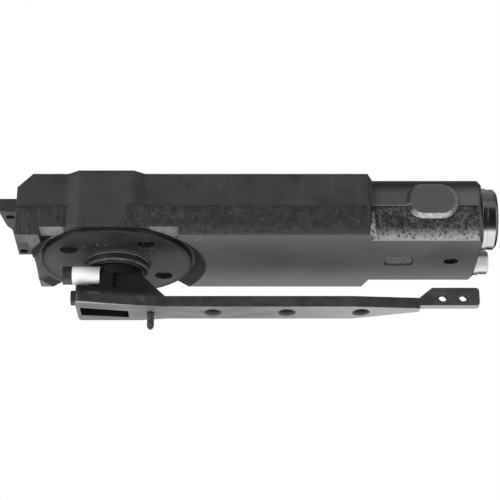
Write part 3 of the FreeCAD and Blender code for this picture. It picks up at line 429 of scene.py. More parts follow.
def add_pad_zones(s, zone):
    """The oval pad's face and skirt, lit below and shaded above, and the flash on the end's parting line."""
    flat = s.ramp(s.facing_y, -0.9, -0.98)
    on_pad = s.all_of(s.below(s.y, PAD_FOOT - 0.1, 0.1), s.above(s.x, PAD_LEFT))
    toward_light = s.any_of(s.ramp(s.facing_z, -0.35, -0.7), s.ramp(s.facing_x, 0.25, 0.6, 0.0, 0.3))
    zone.pad_face = s.all_of(on_pad, flat)
    zone.lit_skirt = s.all_of(on_pad, s.without(flat), toward_light)
    zone.shaded_skirt = s.all_of(on_pad, s.without(flat), s.without(toward_light))
    at_parting = s.within(s.z, PARTING_END - 0.2, PARTING_END + 0.2, 0.1)
    zone.end_flash = s.all_of(s.within(s.x, *END_FLASH, 3), at_parting, s.without(flat),
                              s.below(s.y, END_FLASH_BACK))


def add_recess_zones(s, zone):
    """The flange's recess: its wall, the milled part of its floor, its lip and the notches at its front."""
    in_recess = s.below(s.reach(s.x, s.y), RECESS_RADIUS + 0.3)
    inside_lip = s.any_of(s.above(s.y, LIP_INNER, 0.05), zone.down)
    zone.recess_wall = s.all_of(in_recess, s.within(s.z, BODY_BOTTOM, RECESS_FLOOR, 0.1), inside_lip)
    lip_height = s.within(s.z, BODY_BOTTOM + 1, RECESS_FLOOR - 0.5)
    zone.lip_under = s.all_of(zone.down, s.below(s.y, LIP_INNER), lip_height)
    unmilled = s.all_of(s.below(s.z, UNMILLED_TOP, 0.4), s.above(s.y, UNMILLED_FRONT, 3))
    zone.milled_floor = s.all_of(in_recess, s.within(s.z, BODY_BOTTOM + 0.3, RECESS_FLOOR + 0.5, 0.2),
                                 s.below(s.x, MILLED_FLOOR_RIGHT, 6), s.above(s.y, MILLED_FLOOR_FRONT, 6),
                                 s.without(unmilled))
    beside = s.any_of(s.below(s.x, BULGE_LEFT - 2, 1), s.above(s.x, BULGE_RIGHT + 3, 1))
    zone.notch = s.all_of(zone.down, s.within(s.z, RECESS_FLOOR - 0.1, RECESS_FLOOR + 0.1, 0.05),
                          s.below(s.y, NOTCH_BACK), beside)


def add_underside_zones(s, zone):
    """The lug, the blank pocket, the valve's hole and two rubbed places on the underside."""
    zone.lug = s.all_of(s.below(s.x, STEP_LEFT), s.above(s.z, RECESS_CLEAR), zone.down)
    left, right, front_edge, back_edge = POCKET
    zone.pocket = s.all_of(s.within(s.x, left, right, 0.1), s.within(s.y, front_edge, back_edge, 0.1),
                           s.above(s.z, BODY_BOTTOM + 0.2, 0.1), s.below(s.z, POCKET_TOP))
    hole_x, hole_y = VALVE_HOLE
    from_valve = s.reach(s.minus(s.x, hole_x * MM), s.minus(s.y, hole_y * MM))
    zone.valve_hole = s.all_of(s.below(from_valve, VALVE_HOLE_RADIUS + 0.3),
                               s.within(s.z, BODY_BOTTOM + 0.3, VALVE_HOLE_TOP))
    under = s.all_of(zone.down, s.below(s.z, 0))
    zone.bare_corner = s.all_of(under, s.within(s.x, *BARE_CORNER, 1.5), s.below(s.y, BARE_CORNER_BACK, 3))
    zone.scuff = s.all_of(under, s.within(s.x, *SCUFF, 1.5), s.within(s.y, *SCUFF_DEPTH, 2))


def front_paint(s, zone, grain):
    """Streaked, smudged dark paint, evener on the bulge, with painted light toward the plug and painted
    shade at the end's top.
    """
    smudged = 0.022
    paint = s.mix(s.ramp(grain.blotch, 0.3, 0.75), 0.034, 0.046)
    paint = s.mix(s.all_of(s.ramp(grain.streaks, 0.45, 0.75), s.blend(zone.bulge, 0.3, 0.1)), paint, 0.066)
    paint = s.mix(s.all_of(s.ramp(grain.smudge, 0.48, 0.72), s.without(zone.bulge), 0.75), paint, smudged)
    paint = s.mix(s.all_of(zone.beside_bulge, 0.35), paint, smudged)
    # Painted light: the end section's front is painted lighter toward the plug
    end_paint = s.mix(s.across(s.x, *END_LIGHT), 0.066, 0.096)
    end_paint = s.mix(s.all_of(s.ramp(grain.smudge, 0.4, 0.75), 0.25), end_paint, 0.05)
    # Painted shade: the end section's front is painted darker toward its top
    end_paint = s.mix(s.across(s.z, *END_SHADE), 0.006, end_paint)
    paint = s.mix(zone.end, paint, end_paint)
    return s.mix(zone.rough_slope, paint, s.mix(s.ramp(grain.lumps, 0.38, 0.64), 0.02, 0.038))


def pad_paint(s, zone, grain, paint):
    """The pad's even grey face, and its skirt: painted shade away from the light, bare metal and a painted
    highlight toward it.
    """
    paint = s.mix(zone.pad_face, paint, s.mix(s.ramp(grain.blotch, 0.35, 0.7), 0.073, 0.086))
    # Painted shade on the skirt where it faces away from the light
    paint = s.mix(zone.shaded_skirt, paint, 0.03)
    # Bare metal and a painted highlight on the skirt where it faces the light
    return s.mix(s.all_of(zone.lit_skirt, s.ramp(grain.lumps, 0.3, 0.65, 0.35, 1.0)), paint, 0.55)


def milled_iron(s, grain):
    """The underside's milled grey, with painted light and shade: darkest along its middle and lightest
    toward the back.
    """
    # Painted light and shade: lighter toward the front and the back, darker along the middle
    grey = s.mix(s.across(s.y, *UNDER_FRONT), 0.096, 0.05)
    grey = s.mix(s.across(s.y, *UNDER_BACK), grey, 0.142)
    grey = s.mix(s.all_of(s.ramp(s.noise(26, 4), 0.35, 0.7), 0.3), grey, 0.12)
    return s.mix(s.all_of(s.ramp(grain.brushed, 0.5, 0.75), 0.3), grey, 0.15)


def recess_paint(s, zone, grain, paint):
    """The recess, its lip and notches, the lug, the pocket; painted shade on the wall, under the lip, on the
    lug and in the valve's hole.
    """
    # Dark cast paint and painted shade on the recess's wall
    paint = s.mix(zone.recess_wall, paint, s.mix(grain.blotch, 0.016, 0.03))
    paint = s.mix(zone.milled_floor, paint, s.mix(grain.blotch, 0.09, 0.12))
    # Painted shade under the lip
    paint = s.mix(zone.lip_under, paint, 0.008)
    # Painted shade on the lug's underside
    paint = s.mix(zone.lug, paint, s.mix(grain.blotch, 0.05, 0.095))
    paint = s.mix(zone.notch, paint, s.mix(s.ramp(grain.lumps, 0.4, 0.6), 0.15, 0.25))
    paint = s.mix(zone.pocket, paint, s.mix(s.ramp(grain.lumps, 0.42, 0.62), 0.03, 0.14))
    # Painted shade inside the valve's hole
    return s.mix(zone.valve_hole, paint, 0.014)


def worn_paint(s, zone, grain, paint):
    """Rubbed places, bright flash, a painted shadow along the parting line and worn edges, save where the
    paint is kept.
    """
    paint = s.mix(s.all_of(zone.bare_corner, s.ramp(grain.lumps, 0.4, 0.65)), paint, 0.18)
    paint = s.mix(s.all_of(zone.scuff, s.ramp(grain.lumps, 0.46, 0.62)), paint, 0.2)
    paint = s.mix(s.all_of(zone.end_flash, s.ramp(grain.blotch, 0.3, 0.5)), paint, 0.3)
    # Painted shadow along the parting line
    paint = s.mix(s.all_of(zone.parting_line, 0.8), paint, 0.014)
    kept_paint = s.any_of(zone.step_side, zone.shaded_skirt, zone.parting)
    return s.mix(s.all_of(s.worn_edges(0.8, 240, 0.6), s.without(kept_paint)), paint, 0.26)


def housing_normal(s, zone, grain):
    """Fine paint, brushed marks below, lumps on bare casting, soft edges at the bulge and the shoulder."""
    at_bulge = s.within(s.x, BULGE_LEFT - 2, BULGE_RIGHT + 2, 1)
    at_shoulder = s.within(s.x, BLOCK_END - 4, BLOCK_END + 3, 1)
    softened = s.all_of(s.any_of(at_bulge, at_shoulder), s.above(s.z, RECESS_CLEAR, 2))
    edge_radius = s.blend(softened, 0.6 * MM, 4.5 * MM)
    normal = s.bump(s.blend(zone.down, grain.fine, grain.brushed), 0.22, 0.12, s.rounded(edge_radius))
    lumpy = s.any_of(zone.pocket, zone.lit_skirt, zone.bare_corner, zone.rough_slope)
    return s.bump(grain.lumps, s.times(lumpy, 0.8), 0.8, normal)


# Other materials

def cast_grain(name, height, valley, peak, low_peak):
    """Coarse sand casting: dark paint in the hollows, bare metal on the high spots and the lower edge,
    painted light toward the plug.
    """
    s = Surface(name, Specular_IOR_Level=0.5)
    rise = height(s)
    patches = s.noise(180, 5, 0.6)
    bare = s.all_of(s.ramp(rise, 0.36, 0.8), s.ramp(patches, 0.3, 0.6))
    lower = s.below(s.z, *BARE_EDGE)
    colour = s.mix(s.ramp(patches, 0.3, 0.7), valley, valley * 1.5)
    colour = s.mix(s.all_of(lower, s.ramp(rise, 0.0, 0.5)), colour, low_peak * 0.7)
    # Bare metal on the lower edge, with painted light: lighter toward the plug
    bare_edge_and_light = s.mix(s.across(s.x, *END_EDGE_LIGHT), low_peak * 0.82, low_peak)
    colour = s.mix(bare, colour, s.mix(lower, peak, bare_edge_and_light))
    normal = s.bump(s.noise(2200, 4, 0.6), 0.3, 0.12)
    return s.finish(colour, s.ramp(patches, 0.3, 0.7, 0.36, 0.5), normal)


def flash_metal():
    """Rough bare iron, brightest low down."""
    s = Surface("flash_metal", Specular_IOR_Level=0.5)
    patches = s.noise(420, 5, 0.62)
    low = s.below(s.z, *BRIGHT_FLASH)
    colour = s.mix(s.ramp(patches, 0.35, 0.65), 0.08, s.mix(low, 0.24, 0.55))
    return s.finish(colour, s.ramp(patches, 0.3, 0.7, 0.36, 0.55), s.bump(patches, 0.4, 0.4))


def turned_flange():
    """Grey iron turned on a lathe: fine rings round the spindle axis, a dark boss, a painted shadow of the
    hub, a rim dark with painted shade, painted highlights on the boss's edges.
    """
    s = Surface("machined_flange", Specular_IOR_Level=0.35)
    reach = s.reach(s.x, s.y)
    rim = s.above(reach, FLANGE_RADIUS - 2.4, 1.6)
    boss = s.below(reach, BOSS_RADIUS + 1.0)
    colour = s.mix(s.ramp(s.noise(70, 5), 0.3, 0.72), 0.04, 0.056)
    # Painted shadow of the hub on the flange's front
    hub_shadow = s.all_of(s.below(s.y, *FLANGE_SHADOW), s.ramp(s.noise(50, 4), 0.25, 0.6, 0.5, 1.0))
    colour = s.mix(hub_shadow, colour, 0.013)
    # Painted shade on the rim
    colour = s.mix(rim, colour, 0.016)
    colour = s.mix(boss, colour, s.mix(s.noise(120, 4), 0.012, 0.026))
    between = s.within(reach, BOSS_RADIUS + 3, FLANGE_RADIUS - 12, 2)
    specks = s.all_of(s.ramp(s.noise(620, 2), 0.66, 0.72), between, s.below(s.y, *FLANGE_SPECKS))
    colour = s.mix(s.all_of(specks, 0.9), colour, 0.5)
    colour = s.mix(s.all_of(s.worn_edges(0.6, 240, 0.6), s.without(rim)), colour, 0.3)
    # Painted highlights on the boss's edges
    colour = s.mix(s.all_of(s.edges(1.0), boss, s.ramp(s.noise(90, 3), 0.25, 0.4)), colour, 0.7)
    normal = s.bump(s.plus(s.waves(reach, 0.55), s.noise(1200, 3)), 0.12, 0.1, s.rounded(0.5 * MM))
    return s.finish(colour, s.ramp(s.noise(180, 4), 0.2, 0.8, 0.4, 0.56), normal)


def forged_arm():
    """Forged steel under dark phosphate, black with painted shade at the hub and slot, rubbed grey on its
    underside, with painted highlights on low edges and painted light in the holes.
    """
    s = Surface("forged_arm")
    zone = arm_zones(s)
    scale = s.noise(140, 6, 0.62)
    pits = s.noise(900, 4)
    dark = s.mix(s.ramp(scale, 0.35, 0.68), 0.027, 0.046)
    dark = s.mix(s.all_of(zone.tab, s.ramp(scale, 0.3, 0.7, 0.3, 0.8)), dark, 0.056)
    # Dark paint and painted shade at the hub under the boss, and painted shade in the slot
    dark = s.mix(zone.black, dark, s.mix(scale, 0.009, 0.018))
    # Painted light and shade in the bar's holes: lighter toward the bottom
    dark = s.mix(zone.hole_wall, dark, s.mix(s.across(s.z, HOLE_LIGHT_TOP, ARM_BOTTOM + 0.4), 0.012, 0.2))
    rubbed = s.mix(s.ramp(s.noise(200, 5, 0.6, s.stretch(0.25, 1, 1)), 0.35, 0.7), 0.135, 0.2)
    rubbed = s.mix(s.above(s.x, *RUBBED_BAR), rubbed, 0.34)
    colour = s.mix(zone.down, dark, rubbed)
    colour = s.mix(s.all_of(s.worn_edges(0.7, 220, 0.55), s.without(zone.hub)), colour, 0.34)
    # Painted highlight along the head's lower front edge
    colour = s.mix(s.all_of(zone.lower_edge, s.ramp(scale, 0.2, 0.5)), colour, 0.46)
    # Painted highlights on the underside's edges
    colour = s.mix(s.all_of(s.edges(0.7), zone.down, 0.6), colour, 0.5)
    colour = s.mix(s.all_of(zone.scuffs, s.ramp(scale, 0.3, 0.6), 0.4), colour, 0.16)
    s.feed(s.shader.inputs["Specular IOR Level"], s.blend(zone.black, 0.4, 0.08))
    normal = s.bump(s.plus(scale, s.times(pits, 0.4)), 0.28, 0.35, s.rounded(0.9 * MM))
    return s.finish(colour, s.ramp(scale, 0.3, 0.75, 0.38, 0.54), normal)


def arm_zones(s):
    """Masks of the arm's faces and marks, each from 0 to 1."""
    zone = SimpleNamespace()
    zone.down = s.all_of(s.ramp(s.facing_z, -0.6, -0.95), s.below(s.z, UNDERSIDE_TOP))
    zone.hub = s.all_of(s.below(s.x, HEAD_RIGHT, 6), s.above(s.z, BAR_TOP, 2))
    slot = s.all_of(s.within(s.x, *SLOT), s.within(s.y, -SLOT_HALF_WIDTH, SLOT_HALF_WIDTH),
                    s.within(s.z, ARM_BOTTOM + 0.3, SLOT_TOP))
    # Hub and slot, where dark paint and painted shade go
    zone.black = s.any_of(zone.hub, slot)
    holes = [s.below(s.reach(s.minus(s.x, along * MM), s.y), BAR_HOLE_RADIUS + 0.2) for along in BAR_HOLES]
    zone.hole_wall = s.all_of(s.any_of(*holes), s.within(s.z, ARM_BOTTOM + 0.3, BAR_HOLE_TOP))
    zone.tab = s.above(s.x, TAB_LEFT, 6)
    sloped = s.plus(s.z, s.times(s.x, 0.02))
    zone.lower_edge = s.all_of(s.below(s.x, HEAD_RIGHT, 4), s.below(sloped, ARM_BOTTOM + 0.4, 0.15),
                               s.below(s.y, HEAD_FRONT), s.ramp(s.facing_y, -0.3, -0.7))
    spots = [s.all_of(s.within(s.x, *span), s.within(s.z, *heights)) for span, heights in HEAD_SCUFFS]
    zone.scuffs = s.all_of(s.any_of(*spots), s.ramp(s.facing_y, -0.5, -0.8))
    return zone


def turned_marks(s, along, pitch):
    """A faint cloud, and the normal of fine marks across an axis under it."""
    cloud = s.noise(90, 4, 0.6)
    height = s.plus(s.waves(along, pitch), s.times(cloud, 0.3))
    return cloud, s.bump(height, 0.04, 0.05, s.rounded(0.25 * MM))


def bright_steel(name, colour, axis, pitch=0.5, roughness=0.3):
    """Turned or ground metal with fine marks across its axis."""
    s = Surface(name, Metallic=1.0)
    cloud, normal = turned_marks(s, {"X": s.x, "Z": s.z}[axis], pitch)
    tint = s.mix(s.ramp(cloud, 0.3, 0.7), [0.85 * part for part in colour], colour)
    return s.finish(tint, s.ramp(cloud, 0.2, 0.8, roughness - 0.03, roughness + 0.05), normal)


def plug_steel():
    """Turned steel; the small channel plug is plated and duller than the polished end plug, with painted
    shade on its top and bottom faces.
    """
    s = Surface("plug_steel")
    axis_y, axis_z = CHANNEL_PLUG
    from_axis = s.reach(s.minus(s.y, axis_y * MM), s.minus(s.z, axis_z * MM))
    plated = s.below(from_axis, CHANNEL_PLUG_RADIUS + 1.4)
    cloud, normal = turned_marks(s, s.x, 0.6)
    polished = s.mix(s.ramp(cloud, 0.3, 0.7), 0.36, 0.42)
    # Painted shade on the channel plug's upward and downward faces
    shaded_faces = s.any_of(s.ramp(s.facing_z, -0.1, 0.3), s.ramp(s.facing_z, -0.92, -0.985))
    plating = s.mix(shaded_faces, s.mix(cloud, 0.66, 0.76), 0.1)
    s.feed(s.shader.inputs["Metallic"], s.blend(plated, 1.0, 0.15))
    roughness = s.blend(plated, s.ramp(cloud, 0.2, 0.8, 0.2, 0.26), 0.42)
    return s.finish(s.mix(plated, polished, plating), roughness, normal)


def black_screw():
    """Blackened steel with bare edges."""
    s = Surface("blackened_screws", Specular_IOR_Level=0.5)
    patches = s.noise(300, 5)
    colour = s.mix(s.ramp(patches, 0.35, 0.7), 0.02, 0.045)
    colour = s.mix(s.worn_edges(0.4, 500, 0.6), colour, 0.3)
    normal = s.bump(patches, 0.15, 0.1, s.rounded(0.35 * MM))
    return s.finish(colour, s.ramp(patches, 0.2, 0.8, 0.32, 0.5), normal)


def white_nylon():
    """Moulded white nylon with faint flow marks, with painted shade above on the side toward the hub."""
    low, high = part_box("buffer_sleeve")
    s = Surface("white_buffer", Specular_IOR_Level=0.45, Subsurface_Weight=0.2, Subsurface_Scale=5 * MM)
    s.shader.inputs["Subsurface Radius"].default_value = (1, 1, 1)
    flow = s.noise(160, 4, 0.55, s.stretch(0.3, 1, 1))
    colour = s.mix(s.ramp(flow, 0.3, 0.7), (0.93, 0.93, 0.92), (0.97, 0.97, 0.96))
    # Painted shade on the upper side toward the hub
    painted_shade = s.all_of(s.ramp(s.x, low.x, high.x), s.ramp(s.facing_z, -0.9, 0.6))
    colour = s.mix(painted_shade, colour, (0.42, 0.42, 0.41))
    normal = s.bump(s.noise(900, 3), 0.08, 0.1, s.rounded(0.5 * MM))
    return s.finish(colour, s.ramp(flow, 0.2, 0.8, 0.38, 0.5), normal)


def seal_rubber():
    """Black rubber with a faint bloom."""
    s = Surface("seal_rubber", Specular_IOR_Level=0.35)
    bloom = s.noise(500, 4)
    colour = s.mix(s.ramp(bloom, 0.35, 0.7), 0.012, 0.035)
    return s.finish(colour, s.ramp(bloom, 0.2, 0.8, 0.55, 0.75), s.bump(bloom, 0.15, 0.1))


def finish_nodes():
    """Gives each CAD node the material of its slot in the record."""
    by_slot = {
        "cast_housing": cast_housing(),
        "machined_flange": turned_flange(),
        "bearing_bronze": bright_steel("bearing_bronze", (0.66, 0.47, 0.25), "Z"),
        "seal_rubber": seal_rubber(),
        "ground_steel": bright_steel("ground_steel", (0.56, 0.57, 0.58), "X", pitch=0.4, roughness=0.26),
        "spring_steel": bright_steel("spring_steel", (0.22, 0.22, 0.23), "X", pitch=1.3, roughness=0.4),
        "plug_steel": plug_steel(),
        "valve_steel": bright_steel("valve_steel", (0.3, 0.3, 0.31), "Z", pitch=0.7, roughness=0.38),
        "forged_arm": forged_arm(),
        "blackened_screws": black_screw(),
        "white_buffer": white_nylon(),
    }
    for entry in frame["record"]["subparts"]:
        mesh = nodes[entry["node"]].data
        mesh.materials.clear()
        mesh.materials.append(by_slot[entry["material_slot"]])


# Casting grain

def plate_faces(width, length):
    """Faces of a closed plate of width by length points: its two sides, then the walls round them."""
    total = width * length
    sides = []
    for row in range(length - 1):
        for column in range(width - 1):
            corner = row * width + column
            quad = (corner, corner + 1, corner + width + 1, corner + width)
            sides.append(quad)
            sides.append(tuple(total + index for index in reversed(quad)))
    border = list(range(width))
    border += [row * width + width - 1 for row in range(1, length)]
    border += list(range(total - 2, total - width - 1, -1))
    border += [row * width for row in range(length - 2, 0, -1)]
    walls = []
    for here, after in zip(border, border[1:] + border[:1]):
        walls.append((after, here, total + here, total + after))
    return sides, walls


def relief(name, columns, rows, surface, height, depth, material, sunk=GRAIN_SUNK):
    """A closed plate of casting grain on the housing, its back in the metal, its face risen by height."""
    fronts = []
    backs = []
    for row in rows:
        for column in columns:
            point, outward = surface(column, row)
            fronts.append((point + outward * depth * height(point)) * MM)
            backs.append((point - outward * sunk) * MM)
    sides, walls = plate_faces(len(columns), len(rows))
    mesh = bpy.data.meshes.new(name)
    mesh.from_pydata(fronts + backs, [], sides + walls)
    mesh.polygons.foreach_set("use_smooth", [True] * len(sides) + [False] * len(walls))
    mesh.materials.append(material)
    piece = add_object(name, mesh)
    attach(piece, "housing")


def spaced(low, high, step=GRAIN_STEP):
    """Even places from low to high, about a step apart."""
    count = max(2, round((high - low) / step) + 1)
    return [low + (high - low) * index / (count - 1) for index in range(count)]


def share_of(number):
    """A number held between 0 and 1."""
    return min(1, max(0, number))


def sand(size):
    """Coarse sand casting with grains of a size: its height at a point, up to 1."""
    def height(point):
        where = point / size
        broad = noise.fractal(where, 0.6, 2.1, 4)
        worm = 1 - abs(noise.noise(where * 0.8 + Vector((7, 3, 1))))
        return min(1, max(GRAIN_FLOOR, 0.3 + 0.32 * broad + 0.6 * (worm - 0.6)))
    return height


def crinkle(size):
    """The end section's casting, crinkled ridges round pits of a size: its height at a point, up to 1."""
    def height(point):
        where = point / size
        drift = noise.noise_vector(where * 0.7) * 0.6
        nearest, second = noise.voronoi(where + drift)[0][:2]
        ridge = 1 - min(1, (second - nearest) / 0.55)
        return min(1, max(GRAIN_FLOOR, 0.2 + 0.5 * ridge + 0.28 * noise.fractal(where, 0.6, 2.1, 4)))
    return height


def level_rims(height, low, high, over):
    """The same height, evened out near the lower and the upper rim of a zone."""
    even = 0.4

    def levelled(point):
        share = share_of(min(point.z - low, high - point.z) / over)
        return height(point) * share + even * (1 - share)
    return levelled


def fading(height, start, stop, over):
    """The same height, sinking into the metal near both ends of a zone along X."""
    below_metal = -0.1

    def faded(point):
        share = share_of(min(point.x - start, stop - point.x) / over)
        return height(point) * share + below_metal * (1 - share)
    return faded


def rising(height, start, over):
    """The same height, rising to nearly the cast step at the left end of a zone."""
    full = 0.9

    def risen(point):
        share = share_of((point.x - start) / over)
        return height(point) * share + full * (1 - share)
    return risen


def front_surface(x, z):
    """The block's front below the parting line: a point and its outward direction."""
    return Vector((x, BLOCK_FRONT, z)), Vector((0, -1, 0))


def front_rise(s):
    """Height of the grain over the block's front, as a share of its depth."""
    return s.over(s.minus(BLOCK_FRONT * MM, s.y), BLOCK_GRAIN * MM)


def slope_surface(x, z):
    """The bulge's right slope: a point and its outward direction."""
    run, rise = BULGE_SLOPE
    foot = Vector((BULGE_RIGHT, BLOCK_FRONT - CAST_STEP, z))
    point = foot + Vector((-run, -rise, 0)) * ((BULGE_RIGHT - x) / run)
    return point, Vector((rise, -run, 0)).normalized()


def slope_rise(s):
    """Height of the grain over the bulge's right slope, as a share of its depth."""
    run, rise = BULGE_SLOPE
    slant = math.hypot(run, rise)
    along = s.times(s.minus(s.x, BULGE_RIGHT * MM), rise / slant)
    out = s.times(s.minus((BLOCK_FRONT - CAST_STEP) * MM, s.y), run / slant)
    return s.over(s.plus(along, out), BLOCK_GRAIN * MM)


def end_round_start():
    """Angle at which the end section's rounding leaves its flat front."""
    return math.acos((END_ROUND_Y - END_FRONT) / END_ROUND)


def end_flat_length():
    """Length of the flat part of the end section's front."""
    return PARTING_END - END_ROUND_Z + END_ROUND * math.sin(end_round_start())


def end_length():
    """Length of the end section's front, over the flat and the rounding down to the underside."""
    stop = math.asin((END_ROUND_Z - BODY_BOTTOM) / END_ROUND)
    return end_flat_length() + END_ROUND * (stop - end_round_start())


def end_surface(x, along):
    """The end section's front, flat and then round: a point at a length below the parting line."""
    flat = end_flat_length()
    if along <= flat:
        return Vector((x, END_FRONT, PARTING_END - along)), Vector((0, -1, 0))
    angle = end_round_start() + (along - flat) / END_ROUND
    outward = Vector((0, -math.cos(angle), -math.sin(angle)))
    return Vector((x, END_ROUND_Y, END_ROUND_Z)) + outward * END_ROUND, outward


def end_rise(s):
    """Height of the grain over the end section's front, as a share of its depth."""
    flat = s.minus(END_FRONT * MM, s.y)
    drop = s.minus(s.math("MINIMUM", s.z, END_ROUND_Z * MM), END_ROUND_Z * MM)
    out = s.minus(s.reach(s.minus(s.y, END_ROUND_Y * MM), drop), END_ROUND * MM)
    return s.over(s.math("MAXIMUM", flat, out), END_GRAIN * MM)


def pocket_surface(x, y):
    """The blank pocket's floor, which lies at height zero: a point and its outward direction."""
    return Vector((x, y, 0)), Vector((0, 0, -1))


def pocket_rise(s):
    """Height of the grain over the pocket's floor, as a share of its depth."""
    return s.over(s.minus(0.0, s.z), POCKET_GRAIN * MM)


def shoulder_surface(along, down):
    """The slanting flash that fills the corner between block and end section, wider toward the bottom."""
    top = 14.5
    drop = 15.6
    height = top - drop * down
    near = Vector((BLOCK_END + 2.6 * (1 - down), END_FRONT - 1.4 - 3.4 * down, height))
    far = Vector((BLOCK_END + 3.4 + 0.8 * down, END_FRONT - 0.1, height))
    outward = Vector((0.75, -0.6, -0.25)).normalized()
    return near.lerp(far, along), outward


def front_grain():
    """Coarse casting on the lower half of the block's front, in zones split by the bulge and the notches."""
    coarse = cast_grain("cast_grain_block", front_rise, valley=0.02, peak=0.053, low_peak=0.07)
    wrinkled = cast_grain("cast_grain_left", front_rise, valley=0.018, peak=0.031, low_peak=0.04)
    overlap = 0.4
    low = BODY_BOTTOM + GRAIN_INSET
    notch_low = RECESS_FLOOR + GRAIN_INSET
    notch_left, notch_right = NOTCH
    cast_left = BLOCK_LEFT + CAST_MARGIN
    zones = {
        "cast_grain_corner": (cast_left + GRAIN_INSET, notch_left, low),
        "cast_grain_left": (notch_left - overlap, BULGE_LEFT - GRAIN_INSET, notch_low),
        "cast_grain_middle": (BULGE_RIGHT + GRAIN_INSET, notch_right + overlap, notch_low),
        "cast_grain_right": (notch_right, BLOCK_END - GRAIN_INSET, low),
    }
    for name, (start, stop, bottom) in zones.items():
        if stop < BULGE_RIGHT:
            height = fading(sand(2.2), cast_left, BULGE_LEFT, 2)
            material = wrinkled
        else:
            height = fading(sand(1.7), BULGE_RIGHT - 3, BLOCK_END + 2, 2)
            material = coarse
        if name == "cast_grain_middle":
            height = rising(height, start, 1.5)
        rows = spaced(bottom, PARTING_BLOCK - GRAIN_INSET)
        relief(name, spaced(start, stop), rows, front_surface, height, BLOCK_GRAIN, material)


def slope_grain():
    """The front's casting where it runs up the bulge's right slope."""
    sloping = cast_grain("cast_grain_slope", slope_rise, valley=0.018, peak=0.036, low_peak=0.036)
    shift = 0.3
    slope_left = BULGE_RIGHT - BULGE_SLOPE[0]
    columns = spaced(slope_left + shift, BULGE_RIGHT + shift)
    rows = spaced(RECESS_FLOOR + GRAIN_INSET, PARTING_BLOCK - GRAIN_INSET)
    height = fading(sand(1.3), slope_left, BULGE_RIGHT + 6, 3)
    relief("cast_grain_slope", columns, rows, slope_surface, height, BLOCK_GRAIN, sloping)


def end_grain():
    """The deeper, brighter casting on the end section."""
    bright = cast_grain("cast_grain_end", end_rise, valley=0.014, peak=0.09, low_peak=0.36)
    columns = spaced(BLOCK_END + 2, END_RIGHT - GRAIN_INSET, FINE_STEP)
    rows = spaced(GRAIN_INSET, end_length() - GRAIN_INSET, FINE_STEP)
    height = level_rims(crinkle(2.0), BODY_BOTTOM, PARTING_END, 1.1)
    relief("cast_grain_end", columns, rows, end_surface, height, END_GRAIN, bright)


def pocket_grain():
    """The coarse floor of the blank pocket."""
    blank = cast_grain("cast_grain_pocket", pocket_rise, valley=0.02, peak=0.095, low_peak=0.095)
    margin = 0.6
    left, right, front_edge, back_edge = POCKET
    columns = spaced(left + margin, right - margin, FINE_STEP)
    rows = spaced(front_edge + margin, back_edge - margin, FINE_STEP)
    relief("cast_grain_pocket", columns, rows, pocket_surface, sand(1.5), POCKET_GRAIN, blank)


def shoulder_flash():
    """The rough flash in the corner between block and end section."""
    relief("shoulder_flash", spaced(0, 1, 0.08), spaced(0, 1, 0.025), shoulder_surface, sand(1.6),
           FLASH_GRAIN, flash_metal(), sunk=FLASH_SUNK)


# Set screw and spring

def thread_reach(up, down, turn, radius):
    """Radius of the threaded screw at a turn and a height, up from its point and down from its top."""
    tapered = radius * min(1, 0.5 + 0.5 * up / THREAD_POINT)
    chamfered = radius * min(1, 0.8 + 0.2 * down / THREAD_PITCH)
    phase = (up / THREAD_PITCH - turn) % 1
    crest = radius - THREAD_ROOT * min(1, abs(2 * phase - 1) * 1.25)
    return min(tapered, chamfered, crest)


def thread_mesh(low, high):
    """Points and faces of a screw that fills a box, with a cut thread and a tapered point."""
    middle = (low + high) / 2
    radius = (high.x - low.x) / 2
    length = high.z - low.z
    count = round(length / (THREAD_PITCH / RINGS_PER_TURN))
    verts = []
    for ring in range(count + 1):
        up = length * ring / count
        for side in range(THREAD_SIDES):
            turn = side / THREAD_SIDES
            angle = 2 * math.pi * turn
            reach = thread_reach(up, length - up, turn, radius)
            x = middle.x + reach * math.cos(angle)
            y = middle.y + reach * math.sin(angle)
            verts.append((x, y, low.z + up))
    faces = []
    for ring in range(count):
        lower = ring * THREAD_SIDES
        upper = lower + THREAD_SIDES
        for side in range(THREAD_SIDES):
            after = (side + 1) % THREAD_SIDES
            faces.append((lower + side, lower + after, upper + after, upper + side))
    faces.append(tuple(reversed(range(THREAD_SIDES))))
    faces.append(tuple(range(count * THREAD_SIDES, (count + 1) * THREAD_SIDES)))
    return verts, faces


def threaded_set_screw():
    """The set screw under the arm with its cut thread and tapered point, in place of the plain CAD screw."""
    low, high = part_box("arm_set_screw")
    verts, faces = thread_mesh(low, high)
    mesh = bpy.data.meshes.new("threaded_set_screw")
    mesh.from_pydata(verts, [], faces)
    mesh.materials.append(nodes["arm_set_screw"].data.materials[0])
    piece = add_object("threaded_set_screw", mesh)
    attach(piece, "arm")
    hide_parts("arm_set_screw")


def shortening_spring():
    """The closing spring as a piece of its own on the housing, in place of the CAD spring."""
    piece = add_object("wound_closing_spring", nodes["closing_spring"].data.copy())
    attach(piece, "housing")
    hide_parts("closing_spring")
    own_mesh(piece)


# Studio

